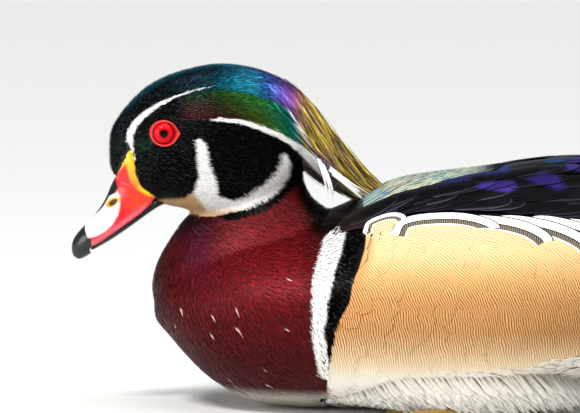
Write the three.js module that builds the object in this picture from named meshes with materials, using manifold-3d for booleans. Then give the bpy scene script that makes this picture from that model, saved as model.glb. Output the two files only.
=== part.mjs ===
// Wood duck drake, life size, resting on its belly with the feet tucked under.
// Millimetres, +Z up, facing -X, with the left side towards -Y. The origin is the middle of the belly's flat.
import * as THREE from "three";
import { ParametricGeometry } from "three/addons/geometries/ParametricGeometry.js";
import { mergeVertices } from "three/addons/utils/BufferGeometryUtils.js";
import Module from "manifold-3d";

const wasm = await Module();
wasm.setup();

// Driving dimensions
const GAP = 0.3; // air between neighbouring pieces
const FAR = 400; // larger than the bird, for cutting blocks
const LEFT = -1;
const RIGHT = 1;

// Sections across the bird, front to back:
// [x, top, height of the widest level, bottom, half width, roundness above, roundness below]
const TORSO = [
  [-109.8, 46, 46, 46, 0, 2, 2],
  [-108.4, 54, 47, 39, 13, 2, 2],
  [-103.5, 62.5, 49, 33.5, 26, 2, 2],
  [-95, 70, 49, 23.5, 38, 2, 2],
  [-83, 77, 48.5, 12, 49, 2, 2.05],
  [-66, 82, 48, 2.6, 58, 2, 2.1],
  [-45, 85, 47.5, -0.8, 64.5, 2, 2.15],
  [-24, 87.5, 48, -1.2, 68.5, 2, 2.15],
  [0, 93.2, 50, -1.2, 70.5, 2, 2.15],
  [20, 98.6, 51, -1, 71, 2, 2.15],
  [42, 103, 52, -0.6, 70.5, 2, 2.15],
  [66, 105, 54, 2, 68, 2, 2.1],
  [90, 103, 58, 8.5, 62, 2, 2],
  [112, 97, 62.5, 20.5, 52, 2, 2],
  [132, 90, 67, 34.5, 39.5, 2, 2],
  [150, 83.5, 70, 49, 26, 2, 2],
  [166, 79.5, 72.5, 61, 16, 2, 2],
  [178, 77.5, 75, 70.5, 8, 2, 2],
  [183, 75.5, 75.5, 75.5, 0, 2, 2],
];
const HEAD = [
  [-130.8, 119, 119, 119, 0, 2, 2],
  [-129.8, 127.4, 118, 109.5, 4.2, 2, 2],
  [-127.3, 133, 116, 105.4, 7.4, 2, 2],
  [-122, 140.2, 114.5, 100.6, 10.2, 2, 2],
  [-114, 148, 113, 96, 13.6, 1.95, 2.1],
  [-105, 153.2, 112.5, 93.2, 17.2, 1.9, 2.4],
  [-95, 156.6, 112, 91.3, 20.6, 1.9, 2.8],
  [-82, 159.1, 111.8, 88, 22.6, 1.9, 3.2],
  [-70, 158.6, 112.5, 88.5, 22.2, 1.9, 3.2],
  [-59, 156, 115, 91.5, 20, 1.9, 3],
  [-49, 150.8, 119.5, 99.5, 16.6, 1.95, 2.6],
  [-41.5, 143, 124, 109, 12.4, 2, 2.2],
  [-36.5, 136, 126.5, 119, 7, 2, 2],
  [-34.5, 127.5, 127.5, 127.5, 0, 2, 2],
];
const CREST = [
  [-62, 139, 139, 139, 0, 2, 2],
  [-56, 153, 138, 124, 12, 2, 2],
  [-44, 148.4, 130, 113, 12.5, 2, 2],
  [-33, 136.4, 121, 104.2, 10.5, 2, 2],
  [-22, 121.9, 110, 98.8, 8, 2, 2],
  [-12, 110.6, 102, 94.4, 5.4, 2, 2],
  [-4, 102.4, 99, 95.8, 3, 2, 2],
  [0.2, 99, 97.9, 97, 1.3, 2, 2],
  [1.6, 97.6, 97.6, 97.6, 0, 2, 2],
];
// The outer form of the folded wings above and the flanks below, over the torso
const COAT = [
  [-75, 60, 60, 60, 0, 2, 2],
  [-68, 74, 50, 26, 40, 2, 2],
  [-55, 81, 48, 5, 58, 2, 2.1],
  [-42, 86, 48, -0.2, 65.5, 2, 2.15],
  [-28, 91.5, 48.5, -1, 70, 2, 2.15],
  [-12, 98.5, 49.5, -1.2, 73.2, 2, 2.15],
  [4, 104.5, 51, -1.2, 75, 2, 2.15],
  [23, 109, 53, -1, 75.8, 2, 2.15],
  [42, 112.8, 54, -0.6, 75.5, 2, 2.15],
  [64, 115, 56, 2, 73, 2, 2.1],
  [88, 115.3, 59, 8.5, 67, 2, 2],
  [112, 112.5, 64, 20.5, 57, 2, 2],
  [134, 107.3, 70, 36, 44, 2, 2],
  [156, 101, 76, 54, 29, 2, 2],
  [172, 95.5, 81.5, 68, 17, 2, 2],
  [183, 91.5, 86, 80, 8, 2, 2],
  [187, 87.5, 87.5, 87.5, 0, 2, 2],
];
// Level sections up the neck:
// [height, front, x of the widest place, back, half width, roundness in front, roundness behind]
const NECK = [
  [32, -64, -64, -64, 0, 2, 2],
  [36, -84, -64, -42, 18, 2, 2],
  [42, -100, -64, -32, 31, 2, 2],
  [48, -109, -64, -26, 39, 2, 2],
  [54, -110.6, -64, -23, 41.5, 2, 2],
  [60, -110, -64, -21, 41, 2, 2],
  [67, -107.8, -64, -20, 38.5, 2, 2],
  [74, -104, -64, -18, 34.5, 2, 2],
  [82, -98.9, -64, -18.5, 29.5, 2, 2],
  [88, -94, -64, -24, 24.5, 2, 2],
  [92.5, -89.6, -64, -31.5, 20.5, 2, 2],
  [97, -86.5, -63, -36.6, 17.8, 2, 2],
  [104, -84, -62, -40, 15, 2, 2],
  [112, -80, -61, -41, 12.5, 2, 2],
  [118.5, -72, -60, -47, 8.5, 2, 2],
  [121, -60, -60, -60, 0, 2, 2],
];
// Facets along and around each form
const BODY_MESH = [22, 28];
const HEAD_MESH = [18, 28];
const NECK_MESH = [18, 24];
const WING_MESH = [14, 20];
const FLANK_MESH = [16, 24];
const CREST_MESH = [11, 12];
const UPPER_BILL_MESH = [16, 18];
const LOWER_BILL_MESH = [10, 16];
const EYE_MESH = [12, 8];
const LID_MESH = [16, 5];
const LIMB_SIDES = 5;

// Small curve helpers
const deg = THREE.MathUtils.degToRad;
const mix = (a, b, t) => a + (b - a) * t;
const power = (value, exponent) => Math.sign(value) * Math.abs(value) ** exponent;

// Rows of numbers as one smooth curve through them, with the poles rounded by a mirrored neighbour.
function smoothRows(rows) {
  const beyond = (pole, next) => [
    next[0],
    2 * pole[2] - next[3],
    pole[2],
    2 * pole[2] - next[1],
    -next[4],
    next[5],
    next[6],
  ];
  const last = rows.length - 1;
  const all = [beyond(rows[0], rows[1]), ...rows, beyond(rows[last], rows[last - 1])];
  const knots = [0];
  for (let i = 1; i < all.length; i++) {
    const apart = Math.hypot(...[0, 1, 2, 3, 4].map((k) => all[i][k] - all[i - 1][k]));
    knots.push(knots[i - 1] + apart);
  }
  const first = knots[1];
  const end = knots[last + 1];
  return (share) => {
    const s = mix(first, end, share);
    let i = 1;
    while (i < last && s > knots[i + 1]) i++;
    const width = knots[i + 1] - knots[i];
    const t = (s - knots[i]) / width;
    const t2 = t * t;
    const t3 = t2 * t;
    return all[i].map((v, k) => {
      const before = (all[i + 1][k] - all[i - 1][k]) / (knots[i + 1] - knots[i - 1]);
      const after = (all[i + 2][k] - v) / (knots[i + 2] - knots[i]);
      const bends = before * width * (t3 - 2 * t2 + t) + after * width * (t3 - t2);
      return v * (2 * t3 - 3 * t2 + 1) + all[i + 1][k] * (3 * t2 - 2 * t3) + bends;
    });
  };
}

// The same sections with every side grown outwards by a small amount, and the two ends too.
function grown(rows, by) {
  return rows.map(([along, top, middle, bottom, half, nTop, nBottom], i) => {
    if (i === 0) return [along - by, top, middle, bottom, half, nTop, nBottom];
    if (i === rows.length - 1) return [along + by, top, middle, bottom, half, nTop, nBottom];
    const out = Math.sign(top - bottom) * by;
    return [along, top + out, middle, bottom - out, half + by, nTop, nBottom];
  });
}

// A point on a section, with the angle in radians from its top towards the right side.
function onSection([along, top, middle, bottom, half, nTop, nBottom], angle) {
  const upper = Math.cos(angle) >= 0;
  const n = 2 / (upper ? nTop : nBottom);
  const side = half * power(Math.sin(angle), n);
  const reach = (upper ? top - middle : middle - bottom) * power(Math.cos(angle), n);
  return [along, side, middle + reach];
}

// Solids for joining and cutting
function toSolid(geometry) {
  const bare = geometry.clone();
  for (const name of Object.keys(bare.attributes)) {
    if (name !== "position") bare.deleteAttribute(name);
  }
  const merged = mergeVertices(bare, 1e-4);
  const corners = merged.index.array;
  const triangles = [];
  for (let i = 0; i < corners.length; i += 3) {
    const [a, b, c] = corners.slice(i, i + 3);
    if (a !== b && b !== c && c !== a) triangles.push(a, b, c);
  }
  const make = (list) =>
    new wasm.Manifold(
      new wasm.Mesh({
        numProp: 3,
        vertProperties: merged.attributes.position.array,
        triVerts: new Uint32Array(list),
      }),
    );
  const solid = make(triangles);
  return solid.volume() < 0 ? make(triangles.reverse()) : solid;
}

// A closed form through sections that follow one another along X.
function hull(rows, [steps, around]) {
  const at = smoothRows(rows);
  const place = (u, v, target) => target.set(...onSection(at(v), u * 2 * Math.PI));
  return toSolid(new ParametricGeometry(place, around, steps));
}

// The same for level sections, stacked along Z.
function column(rows, [steps, around]) {
  const at = smoothRows(rows);
  const place = (u, v, target) => {
    const [z, y, x] = onSection(at(v), u * 2 * Math.PI);
    target.set(x, y, z);
  };
  return toSolid(new ParametricGeometry(place, around, steps));
}

// A block that is an outline in the side view, [x, z] points, carried across from y = from to y = to.
function sideBlock(outline, from, to) {
  const shape = new THREE.Shape(outline.map(([x, z]) => new THREE.Vector2(x, z)));
  const block = new THREE.ExtrudeGeometry(shape, { depth: to - from, bevelEnabled: false });
  block.rotateX(Math.PI / 2).translate(0, to, 0);
  return toSolid(block);
}

// The outline moved outwards by a small amount; its points run anticlockwise as seen with z up.
function widened(outline, by) {
  const count = outline.length;
  const turn = outline.reduce((sum, [x, z], i) => {
    const [nx, nz] = outline[(i + 1) % count];
    return sum + x * nz - nx * z;
  }, 0);
  const sign = Math.sign(turn);
  return outline.map(([x, z], i) => {
    const [px, pz] = outline[(i + count - 1) % count];
    const [nx, nz] = outline[(i + 1) % count];
    const a = new THREE.Vector2(z - pz, px - x).normalize();
    const b = new THREE.Vector2(nz - z, x - nx).normalize();
    const away = a.clone().add(b).normalize();
    const stretch = by / Math.max(0.4, away.dot(a));
    return [x + away.x * stretch * sign, z + away.y * stretch * sign];
  });
}

function box(x0, x1, y0, y1, z0, z1) {
  const block = new THREE.BoxGeometry(x1 - x0, y1 - y0, z1 - z0);
  return toSolid(block.translate((x0 + x1) / 2, (y0 + y1) / 2, (z0 + z1) / 2));
}

// A mirror image across the bird's middle plane.
const mirrored = (solid) => solid.mirror([0, 1, 0]);

// Repeatable random numbers from 0 to 1.
function seeded(seed) {
  let state = seed;
  return () => {
    state = (Math.imul(state, 1664525) + 1013904223) >>> 0;
    return state / 4294967296;
  };
}

// A form's surface to lay vanes on: a point from x and angle, and the nearest point above a place.
function guide(rows) {
  const at = smoothRows(rows);
  const samples = Array.from({ length: 401 }, (_, i) => at(i / 400));
  const rowAt = (x) => {
    let i = 0;
    while (i < 399 && samples[i + 1][0] < x) i++;
    const [a, b] = [samples[i], samples[i + 1]];
    const t = THREE.MathUtils.clamp((x - a[0]) / (b[0] - a[0]), 0, 1);
    return a.map((v, k) => mix(v, b[k], t));
  };
  const lifted = ([along, top, middle, bottom, half, nTop, nBottom], lift) => [
    along,
    top + lift,
    middle,
    bottom - lift,
    half + lift,
    nTop,
    nBottom,
  ];
  const place = (x, angle, lift) => new THREE.Vector3(...onSection(lifted(rowAt(x), lift), angle));
  const onto = (point, lift) => {
    const [, top, middle, bottom, half, nTop, nBottom] = rowAt(point.x);
    const up = point.z >= middle;
    const n = (up ? nTop : nBottom) / 2;
    const side = power(point.y / half, n);
    const reach = power((point.z - middle) / (up ? top - middle : middle - bottom), n);
    return place(point.x, Math.atan2(side, reach), lift);
  };
  return { place, onto };
}

// Feather outlines: share of the full width from the root at 0 to the tip at 1
const BROAD = [0.4, 0.86, 1, 0.86, 0.32];
const LONG = [0.45, 0.86, 1, 0.84, 0.26];
const LANCE = [0.8, 1, 0.9, 0.62, 0.16];
const EDGE = 0.25; // half thickness of a vane at its edges

// One feather vane over a guide surface. Its spine runs between two [x, angle] places, its edges are rolled
// so that neighbours lie like tiles, and both faces are split alike.
function vane(surface, shape) {
  const { from, to, bow = 0, width, outline, thick, narrow } = shape;
  const { sink, ramp = 4, lift, rise = 0, roll = 0 } = shape;
  const steps = outline.length - 1;
  const spine = (t) => {
    const x = mix(from[0], to[0], t);
    const angle = mix(from[1], to[1], t) + bow * 4 * t * (1 - t);
    return surface.place(x, angle, 0);
  };
  const sides = narrow ? [-1, 1] : [-1, 0, 1];
  const vertices = [];
  for (let i = 0; i <= steps; i++) {
    const t = i / steps;
    const here = spine(t);
    const ahead = spine(Math.min(1, t + 0.02)).sub(spine(Math.max(0, t - 0.02))).normalize();
    const out = surface.onto(here, 1).sub(here).normalize();
    const across = new THREE.Vector3().crossVectors(ahead, out).normalize();
    const half = (outline[i] * width) / 2;
    const height = mix(-sink, lift + rise * (t - 0.5), Math.min(1, t * ramp));
    const body = thick * mix(1, 0.7, t);
    for (const side of sides) {
      const spot = here.clone().addScaledVector(across, side * half);
      const middle = height + side * roll * outline[i];
      const depth = Math.max(EDGE, (body * (side && !narrow ? 0.5 : 1)) / 2);
      vertices.push(surface.onto(spot, middle + depth), surface.onto(spot, middle - depth));
    }
  }
  return vaneSolid(vertices, steps, sides.length);
}

// Rows of corners, an upper and a lower one at each place across, as a closed solid.
function vaneSolid(vertices, steps, across) {
  const triangles = [];
  const quad = (a, b, c, d) => triangles.push(a, b, c, a, c, d);
  const row = across * 2;
  for (let i = 0; i < steps; i++) {
    const [a, b] = [i * row, i * row + row];
    for (let k = 0; k < row - 2; k += 2) {
      quad(a + k, b + k, b + k + 2, a + k + 2);
      quad(a + k + 3, b + k + 3, b + k + 1, a + k + 1);
    }
    quad(a + 1, b + 1, b, a);
    quad(a + row - 2, b + row - 2, b + row - 1, a + row - 1);
  }
  const end = steps * row;
  for (let k = 0; k < row - 2; k += 2) {
    quad(k, k + 2, k + 3, k + 1);
    quad(end + k + 1, end + k + 3, end + k + 2, end + k);
  }
  const geometry = new THREE.BufferGeometry();
  const numbers = new Float32Array(vertices.flatMap((v) => v.toArray()));
  geometry.setAttribute("position", new THREE.BufferAttribute(numbers, 3));
  geometry.setIndex(triangles);
  return toSolid(geometry);
}

// The feathers of some tiers: each tier's first and last feather have [x, angle in degrees] places for root
// and tip, and those between are spread evenly with a little variation.
function tiers(surface, list, shared, seed) {
  const random = seeded(seed);
  return list.flatMap(({ count, from, to, ...rest }) =>
    Array.from({ length: count }, (_, i) => {
      const share = count > 1 ? i / (count - 1) : 0;
      const vary = random() - 0.5;
      const spot = ([a, b], shift) => [mix(a[0], b[0], share) + shift * vary, deg(mix(a[1], b[1], share))];
      const width = rest.width * (1 + vary * 0.1);
      return vane(surface, { ...shared, ...rest, from: spot(from, 2), to: spot(to, 5), width });
    }),
  );
}

// A core and its vanes as one closed body.
const fused = (core, vanes) => vanes.reduce((sum, one) => sum.add(one), core);

// Only the largest closed surface, which also fills any sealed hollow.
function largest(solid) {
  return solid.decompose().reduce((best, part) => (part.volume() > best.volume() ? part : best));
}

// The node's mesh
const group = new THREE.Group();
function addNode(name, solid, look) {
  const { vertProperties, triVerts, numProp } = largest(solid).getMesh();
  if (numProp !== 3) throw new Error(`${name} carries extra properties`);
  const geometry = new THREE.BufferGeometry();
  geometry.setAttribute("position", new THREE.BufferAttribute(vertProperties, 3));
  geometry.setIndex(new THREE.BufferAttribute(triVerts, 1));
  geometry.computeVertexNormals();
  const [color, roughness, metalness] = look;
  const material = new THREE.MeshStandardMaterial({ color, roughness, metalness });
  const mesh = new THREE.Mesh(geometry, material);
  mesh.name = name;
  group.add(mesh);
}

const LOOKS = {
  chestnut: [0x5e1216, 0.6, 0.1],
  white: [0xf2efe6, 0.7, 0],
  bronze: [0x2c3326, 0.5, 0.3],
  buff: [0xd9b273, 0.7, 0],
  blueBlack: [0x14162c, 0.4, 0.4],
  crown: [0x0e3a3c, 0.35, 0.5],
  tailBlack: [0x14201c, 0.5, 0.3],
  billRed: [0xe2433a, 0.35, 0],
  hornBlack: [0x101012, 0.35, 0],
  eyeRed: [0xd0202a, 0.1, 0],
  lidRed: [0xe8403c, 0.4, 0],
  straw: [0xb98f3c, 0.5, 0],
};

// Body: breast and torso, parted with thin cuts
const BREAST_CUT = { top: [-28, 90], slope: 0.22 }; // front edge of the white bar
const NECK_CUT = [
  [-118, 64],
  [-10, 98],
]; // side view line between breast and neck
const TAIL_CUT = 150; // the torso ends here and the tail with its coverts begins
const FLANK_INSIDE = 36; // distance of the flanks' inner face from the middle plane
// Line between flank and wing in the side view, [x, z]
const WING_EDGE = [
  [-50, 62],
  [-38, 70],
  [-28, 78],
  [-16, 84.5],
  [-2, 88.5],
  [20, 90.5],
  [44, 89.5],
  [66, 86.5],
  [88, 82.5],
  [110, 79],
  [130, 79.5],
  [150, 82.5],
  [170, 84.5],
  [187, 87],
];
const FLANK_LOWER = [
  [130, 66],
  [126, 54],
  [110, 36],
  [84, 22],
  [40, 14],
  [0, 12.5],
  [-52, 13],
];

const torsoForm = hull(TORSO, BODY_MESH);
const torsoRoom = hull(grown(TORSO, GAP), BODY_MESH);
const aboveFloor = box(-FAR, FAR, -FAR, FAR, 0, FAR);
const neckWhole = torsoForm.add(column(NECK, NECK_MESH));
const body = neckWhole.intersect(aboveFloor);
const neckBlock = (lift) => {
  const [[x0, z0], [x1, z1]] = NECK_CUT;
  const outline = [
    [x0, z0 + lift],
    [x1, z1 + lift],
    [x1, FAR],
    [x0, FAR],
  ];
  return sideBlock(outline, -FAR, FAR);
};
const aboveNeckCut = neckBlock(GAP);

// All that lies in front of the cut behind the breast, moved back by a small amount.
function breastBlock(extra) {
  const [x, z] = BREAST_CUT.top;
  const foot = x - z * BREAST_CUT.slope + extra;
  const low = foot - FAR * BREAST_CUT.slope;
  const high = foot + FAR * BREAST_CUT.slope;
  const outline = [
    [low, -FAR],
    [high, FAR],
    [-2 * FAR, FAR],
    [-2 * FAR, -FAR],
  ];
  return sideBlock(outline, -FAR, FAR);
}

// Folded wings: a thin body over the back, with scapulars, coverts, tertials, secondaries and primaries
const coat = guide(COAT);
// Inner edge of the wing in plan, x and distance from the middle plane
const WING_INNER = [
  [-52, 36],
  [-24, 29],
  [4, 21],
  [22, 12.5],
  [40, 4],
  [52, GAP / 2],
  [200, GAP / 2],
];
const WING_INSET = 2.2; // the wing's body lies this far inside the coat
const wingOutline = [...WING_EDGE, [200, 88.5], [200, FAR], [-50, FAR]];
// Tiers of the wing: primaries, secondaries, coverts, tertials and scapulars
const WING_TIERS = [
  { count: 3, from: [[99, 62], [99, 40]], to: [[170, 54], [182, 24]], width: 10, outline: LONG, lift: -0.3 },
  { count: 3, from: [[72, 60], [88, 40]], to: [[132, 62], [150, 42]], width: 12, outline: LONG, lift: -0.3 },
  { count: 5, from: [[-36, 46], [56, 50]], to: [[12, 45], [100, 50]], width: 17, outline: BROAD, lift: -0.4 },
  { count: 3, from: [[70, 34], [84, 8]], to: [[134, 36], [156, 10]], width: 16, outline: LONG, lift: 0.6 },
  { count: 5, from: [[-36, 32], [56, 28]], to: [[10, 31], [102, 30]], width: 19, outline: BROAD, lift: 0.9 },
  { count: 3, from: [[22, 17], [66, 10]], to: [[64, 15], [108, 11]], width: 17, outline: BROAD, lift: 1.9 },
];
const WING_VANE = { roll: -0.4, sink: 3, rise: 2.2, thick: 0.9 };

function wingPlan() {
  const shape = new THREE.Shape([
    ...WING_INNER.map(([x, y]) => new THREE.Vector2(x, y)),
    new THREE.Vector2(200, FAR),
    new THREE.Vector2(-52, FAR),
  ]);
  return toSolid(new THREE.ExtrudeGeometry(shape, { depth: FAR, bevelEnabled: false }));
}
const neckRoom = column(grown(NECK, GAP), NECK_MESH);
const wingBlock = sideBlock(wingOutline, -FAR, FAR);
const wingCore = hull(grown(COAT, -WING_INSET), WING_MESH).intersect(wingPlan());
const wingRight = fused(wingCore, tiers(coat, WING_TIERS, WING_VANE, 7))
  .intersect(wingBlock)
  .intersect(box(-FAR, FAR, GAP / 2, FAR, 0, FAR))
  .subtract(torsoRoom)
  .subtract(breastBlock(GAP))
  .subtract(neckRoom);
addNode("wing_left", mirrored(wingRight), LOOKS.blueBlack);
addNode("wing_right", wingRight, LOOKS.blueBlack);

// Flanks: a puffed side with the broad white-tipped plumes that cover the edge of the wing
const flankOutline = [...WING_EDGE.slice(0, -1).map(([x, z]) => [x, z - GAP]), ...FLANK_LOWER];
const FLANK_TIERS = [
  { count: 4, from: [[-10, 92], [74, 88]], to: [[36, 78], [122, 82]], width: 20, outline: BROAD, lift: 0.6 },
  { count: 6, from: [[-30, 70], [62, 70]], to: [[10, 52], [106, 62]], width: 18, outline: BROAD, lift: 2.8 },
];
const FLANK_VANE = { roll: 0, sink: 2.4, rise: 2.8, thick: 0.7 };
const flankBlock = (extra) => {
  const outline = extra ? widened(flankOutline, extra) : flankOutline;
  return sideBlock(outline, FLANK_INSIDE - extra, FAR);
};
const FLANK_INSET = 0.8; // the flank body lies this far inside the coat
const flankCore = hull(grown(COAT, -FLANK_INSET), FLANK_MESH).intersect(flankBlock(0));
const flankRight = fused(flankCore, tiers(coat, FLANK_TIERS, FLANK_VANE, 19))
  .subtract(breastBlock(GAP))
  .intersect(aboveFloor);
addNode("flank_left", mirrored(flankRight), LOOKS.buff);
addNode("flank_right", flankRight, LOOKS.buff);

const rearBlock = (extra) => box(TAIL_CUT - extra, FAR, -FAR, FAR, 0, FAR);
const behindBreast = body
  .subtract(rearBlock(GAP))
  .subtract(breastBlock(GAP))
  .subtract(neckBlock(0))
  .subtract(flankBlock(GAP))
  .subtract(mirrored(flankBlock(GAP)));
addNode("breast", body.intersect(breastBlock(0)).subtract(neckBlock(0)), LOOKS.chestnut);
addNode("torso", behindBreast, LOOKS.white);

// Bill, in its own frame: along it from the gape to the tip, and up from the line of the mouth
const GAPE = [-108.4, 94]; // corner of the mouth in the side view
const BILL_DROOP = THREE.MathUtils.degToRad(34); // how far the bill points down
const UPPER_BILL = [
  [-12, 10, 10, 10, 0, 2, 2],
  [-8, 21, 8, -1, 7, 1.8, 2.4],
  [-2, 22.5, 6, -2, 9, 1.75, 2.6],
  [4, 22.4, 4, -2, 9.5, 1.7, 2.6],
  [8, 21.4, 3.2, -2, 9.5, 1.7, 2.6],
  [12.3, 19.2, 2.6, -2, 9.1, 1.7, 2.6],
  [18.8, 15, 2, -1.9, 8.5, 1.8, 2.6],
  [23.8, 12.7, 1.8, -1.7, 8.2, 1.9, 2.6],
  [28.4, 11.2, 1.8, -1.6, 8, 2, 2.6],
  [34.3, 10, 2, -1.8, 7.4, 2.1, 2.5],
  [39, 8.8, 2.2, -2.4, 6, 2.1, 2.3],
  [42.5, 7.1, 2, -2.2, 4.3, 2, 2],
  [45, 4.4, 1.4, -1.4, 2.2, 2, 2],
  [46.2, 1.3, 1.3, 1.3, 0, 2, 2],
];
const LOWER_BILL = [
  [-8, 0.6, 0.6, 0.6, 0, 2, 2],
  [-4, 4, 0.4, -2.4, 6.4, 2, 2],
  [1.5, 4, 0, -1.9, 8.1, 2, 2.2],
  [8, 4, -0.2, -2, 8.1, 2, 2.2],
  [16, 3.5, -0.4, -2.3, 7.8, 2, 2.2],
  [26, 3, -0.6, -2.4, 7.1, 2, 2.2],
  [33, 2, -0.7, -2, 5.6, 2, 2],
  [36.6, 0, -0.8, -1.6, 2.8, 2, 2],
  [37.8, -0.9, -0.9, -0.9, 0, 2, 2],
];
// Lower rim of the upper bill in the bill's own frame; behind its last point the nail hooks down
const MOUTH_LINE = [
  [-12, 3.4],
  [0.5, 2.4],
  [3, 1.2],
  [7.6, 0.5],
  [13, 0.2],
  [25, -0.2],
  [31, -0.3],
  [36, 0.3],
  [38.4, -0.4],
];
const NOSTRIL = { along: 17.2, up: 10.4, length: 4.4, height: 2 };
// The bill's edge against the feathers in the side view
const BILL_EDGE = [
  [-107.9, 94.9],
  [-111.6, 97.4],
  [-116.3, 102],
  [-119.1, 108.6],
  [-119.5, 114.2],
  [-121.4, 120.5],
  [-124.7, 113.5],
  [-128.2, 105.6],
  [-129.4, 103],
  [-131, 101.4],
];
const BILL_FIELD = [
  ...BILL_EDGE,
  [-160, 101],
  [-160, 40],
  [-100, 40],
  [-105, 88],
  [-106.6, 92.6],
];

function billToWorld(solid) {
  const turn = new THREE.Matrix4().makeRotationY(-BILL_DROOP);
  const flip = new THREE.Matrix4().makeScale(-1, 1, 1);
  const move = new THREE.Matrix4().makeTranslation(GAPE[0], 0, GAPE[1]);
  return solid.transform(move.multiply(turn).multiply(flip).elements);
}
const headForm = hull(HEAD, HEAD_MESH);
const belowMouth = (lower) => {
  const last = MOUTH_LINE[MOUTH_LINE.length - 1][0] - lower;
  const line = MOUTH_LINE.map(([along, up]) => [Math.min(along, last), up - lower]);
  return sideBlock([...line, [last, -20], [-12, -20]], -FAR, FAR);
};
const nostril = (side) => {
  const pit = new THREE.SphereGeometry(1, 8, 6).scale(NOSTRIL.length / 2, 2.2, NOSTRIL.height / 2);
  pit.rotateY(0.25).translate(NOSTRIL.along, side * 5.6, NOSTRIL.up);
  return toSolid(pit);
};
const upperForm = hull(UPPER_BILL, UPPER_BILL_MESH)
  .subtract(belowMouth(0))
  .subtract(nostril(LEFT))
  .subtract(nostril(RIGHT));
const billField = sideBlock(BILL_FIELD, -FAR, FAR);
const billRoom = sideBlock(widened(BILL_FIELD, GAP), -FAR, FAR);
const headRoomBehind = headForm.subtract(billField);
const headPlate = headForm.subtract(billToWorld(belowMouth(0)));
addNode(
  "bill_upper",
  billToWorld(upperForm).add(headPlate).intersect(billField),
  LOOKS.billRed,
);
const lowerForm = billToWorld(hull(LOWER_BILL, LOWER_BILL_MESH).intersect(belowMouth(GAP)));
addNode("bill_lower", lowerForm.intersect(billField).subtract(headRoomBehind), LOOKS.hornBlack);

// Eyes and the fleshy ring of the lids round them
const EYE = { at: [-105.4, 11.9, 127.4], radius: 6.3 };
const LID = { long: 7.2, high: 6.25, opening: 5.05, rise: 0.5, thick: 1.1 };
function eyeBall(side, extra) {
  const ball = new THREE.SphereGeometry(EYE.radius + extra, ...EYE_MESH);
  const [x, y, z] = EYE.at;
  return toSolid(ball.translate(x, side * y, z));
}
// How far out a form's side lies at a place in the side view.
function sideAt(rows, x, z) {
  const at = smoothRows(rows);
  let low = 0;
  let high = 1;
  for (let i = 0; i < 24; i++) {
    const share = (low + high) / 2;
    if (at(share)[0] < x) low = share;
    else high = share;
  }
  const [, top, middle, bottom, half, nTop, nBottom] = at(low);
  const [reach, n] = z >= middle ? [top - middle, nTop] : [middle - bottom, nBottom];
  const level = Math.min(1, Math.abs(z - middle) / reach);
  return half * (1 - level ** n) ** (1 / n);
}
function lidRing(side) {
  const place = (u, v, target) => {
    const round = -side * u * 2 * Math.PI;
    const across = v * 2 * Math.PI;
    const ring = (LID.opening + (1 + Math.cos(across)) * 0.5 * (LID.long - LID.opening)) / LID.long;
    const x = EYE.at[0] + Math.cos(round) * ring * LID.long;
    const z = EYE.at[2] + Math.sin(round) * ring * mix(LID.long, LID.high, ring);
    const out = sideAt(HEAD, x, z) + LID.rise + Math.sin(across) * LID.thick;
    target.set(x, side * out, z);
  };
  return toSolid(new ParametricGeometry(place, ...LID_MESH));
}

// Head, neck, and the crest feather by feather
const CREST_ROOM = 1.6; // the neck keeps this far from the crest's outer form
const CREST_CORE = { end: -26, inset: 1.8 };
const CREST_VANE = { thick: 0.7, sink: 3.4, ramp: 2.8, roll: 0.2, narrow: true, outline: LANCE };
const CREST_UNDER = { ...CREST_VANE, width: 7.4, lift: -0.5 };
const CREST_OVER = { ...CREST_VANE, width: 7, lift: 0.8 };
// Angle from the top of the crest, x of the root and x of the tip of each feather of one side
const UNDER_FEATHERS = [
  [18, -58, 1],
  [54, -55, -2],
  [90, -52, -5],
  [126, -50, -8],
  [162, -48, -14],
];
const OVER_FEATHERS = [
  [36, -58, -6],
  [72, -54, -10],
  [108, -52, -14],
  [144, -50, -21],
];
const crestGuide = guide(CREST);
const headRoom = hull(grown(HEAD, GAP), HEAD_MESH);
function crestVanes(list, look, seed) {
  const random = seeded(seed);
  return list.flatMap(([angle, root, tip]) => {
    const vary = random() - 0.5;
    const one = vane(crestGuide, {
      ...look,
      from: [root, deg(angle)],
      to: [tip + vary * 2, deg(mix(angle, 95, 0.08))],
      bow: vary * 0.05,
    });
    return [one, mirrored(one)];
  });
}
const crestCore = hull(grown(CREST, -CREST_CORE.inset), CREST_MESH).intersect(
  box(-FAR, CREST_CORE.end, -FAR, FAR, 0, FAR),
);
const crestTop = vane(crestGuide, { ...CREST_OVER, from: [-60, 0], to: [-3, 0], roll: 0 });
const crestFeathers = [
  ...crestVanes(UNDER_FEATHERS, CREST_UNDER, 3),
  ...crestVanes(OVER_FEATHERS, CREST_OVER, 5),
  crestTop,
];
addNode("crest", fused(crestCore, crestFeathers).subtract(headRoom), LOOKS.crown);

const head = headForm
  .add(lidRing(LEFT))
  .add(lidRing(RIGHT))
  .subtract(billRoom)
  .subtract(eyeBall(LEFT, GAP))
  .subtract(eyeBall(RIGHT, GAP));
addNode("eye_left", eyeBall(LEFT, 0), LOOKS.eyeRed);
addNode("eye_right", eyeBall(RIGHT, 0), LOOKS.eyeRed);
addNode("head", head, LOOKS.crown);
const crestRoom = hull(grown(CREST, CREST_ROOM), CREST_MESH);
addNode("neck", neckWhole.intersect(aboveNeckCut).subtract(headRoom).subtract(crestRoom), LOOKS.chestnut);

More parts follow.
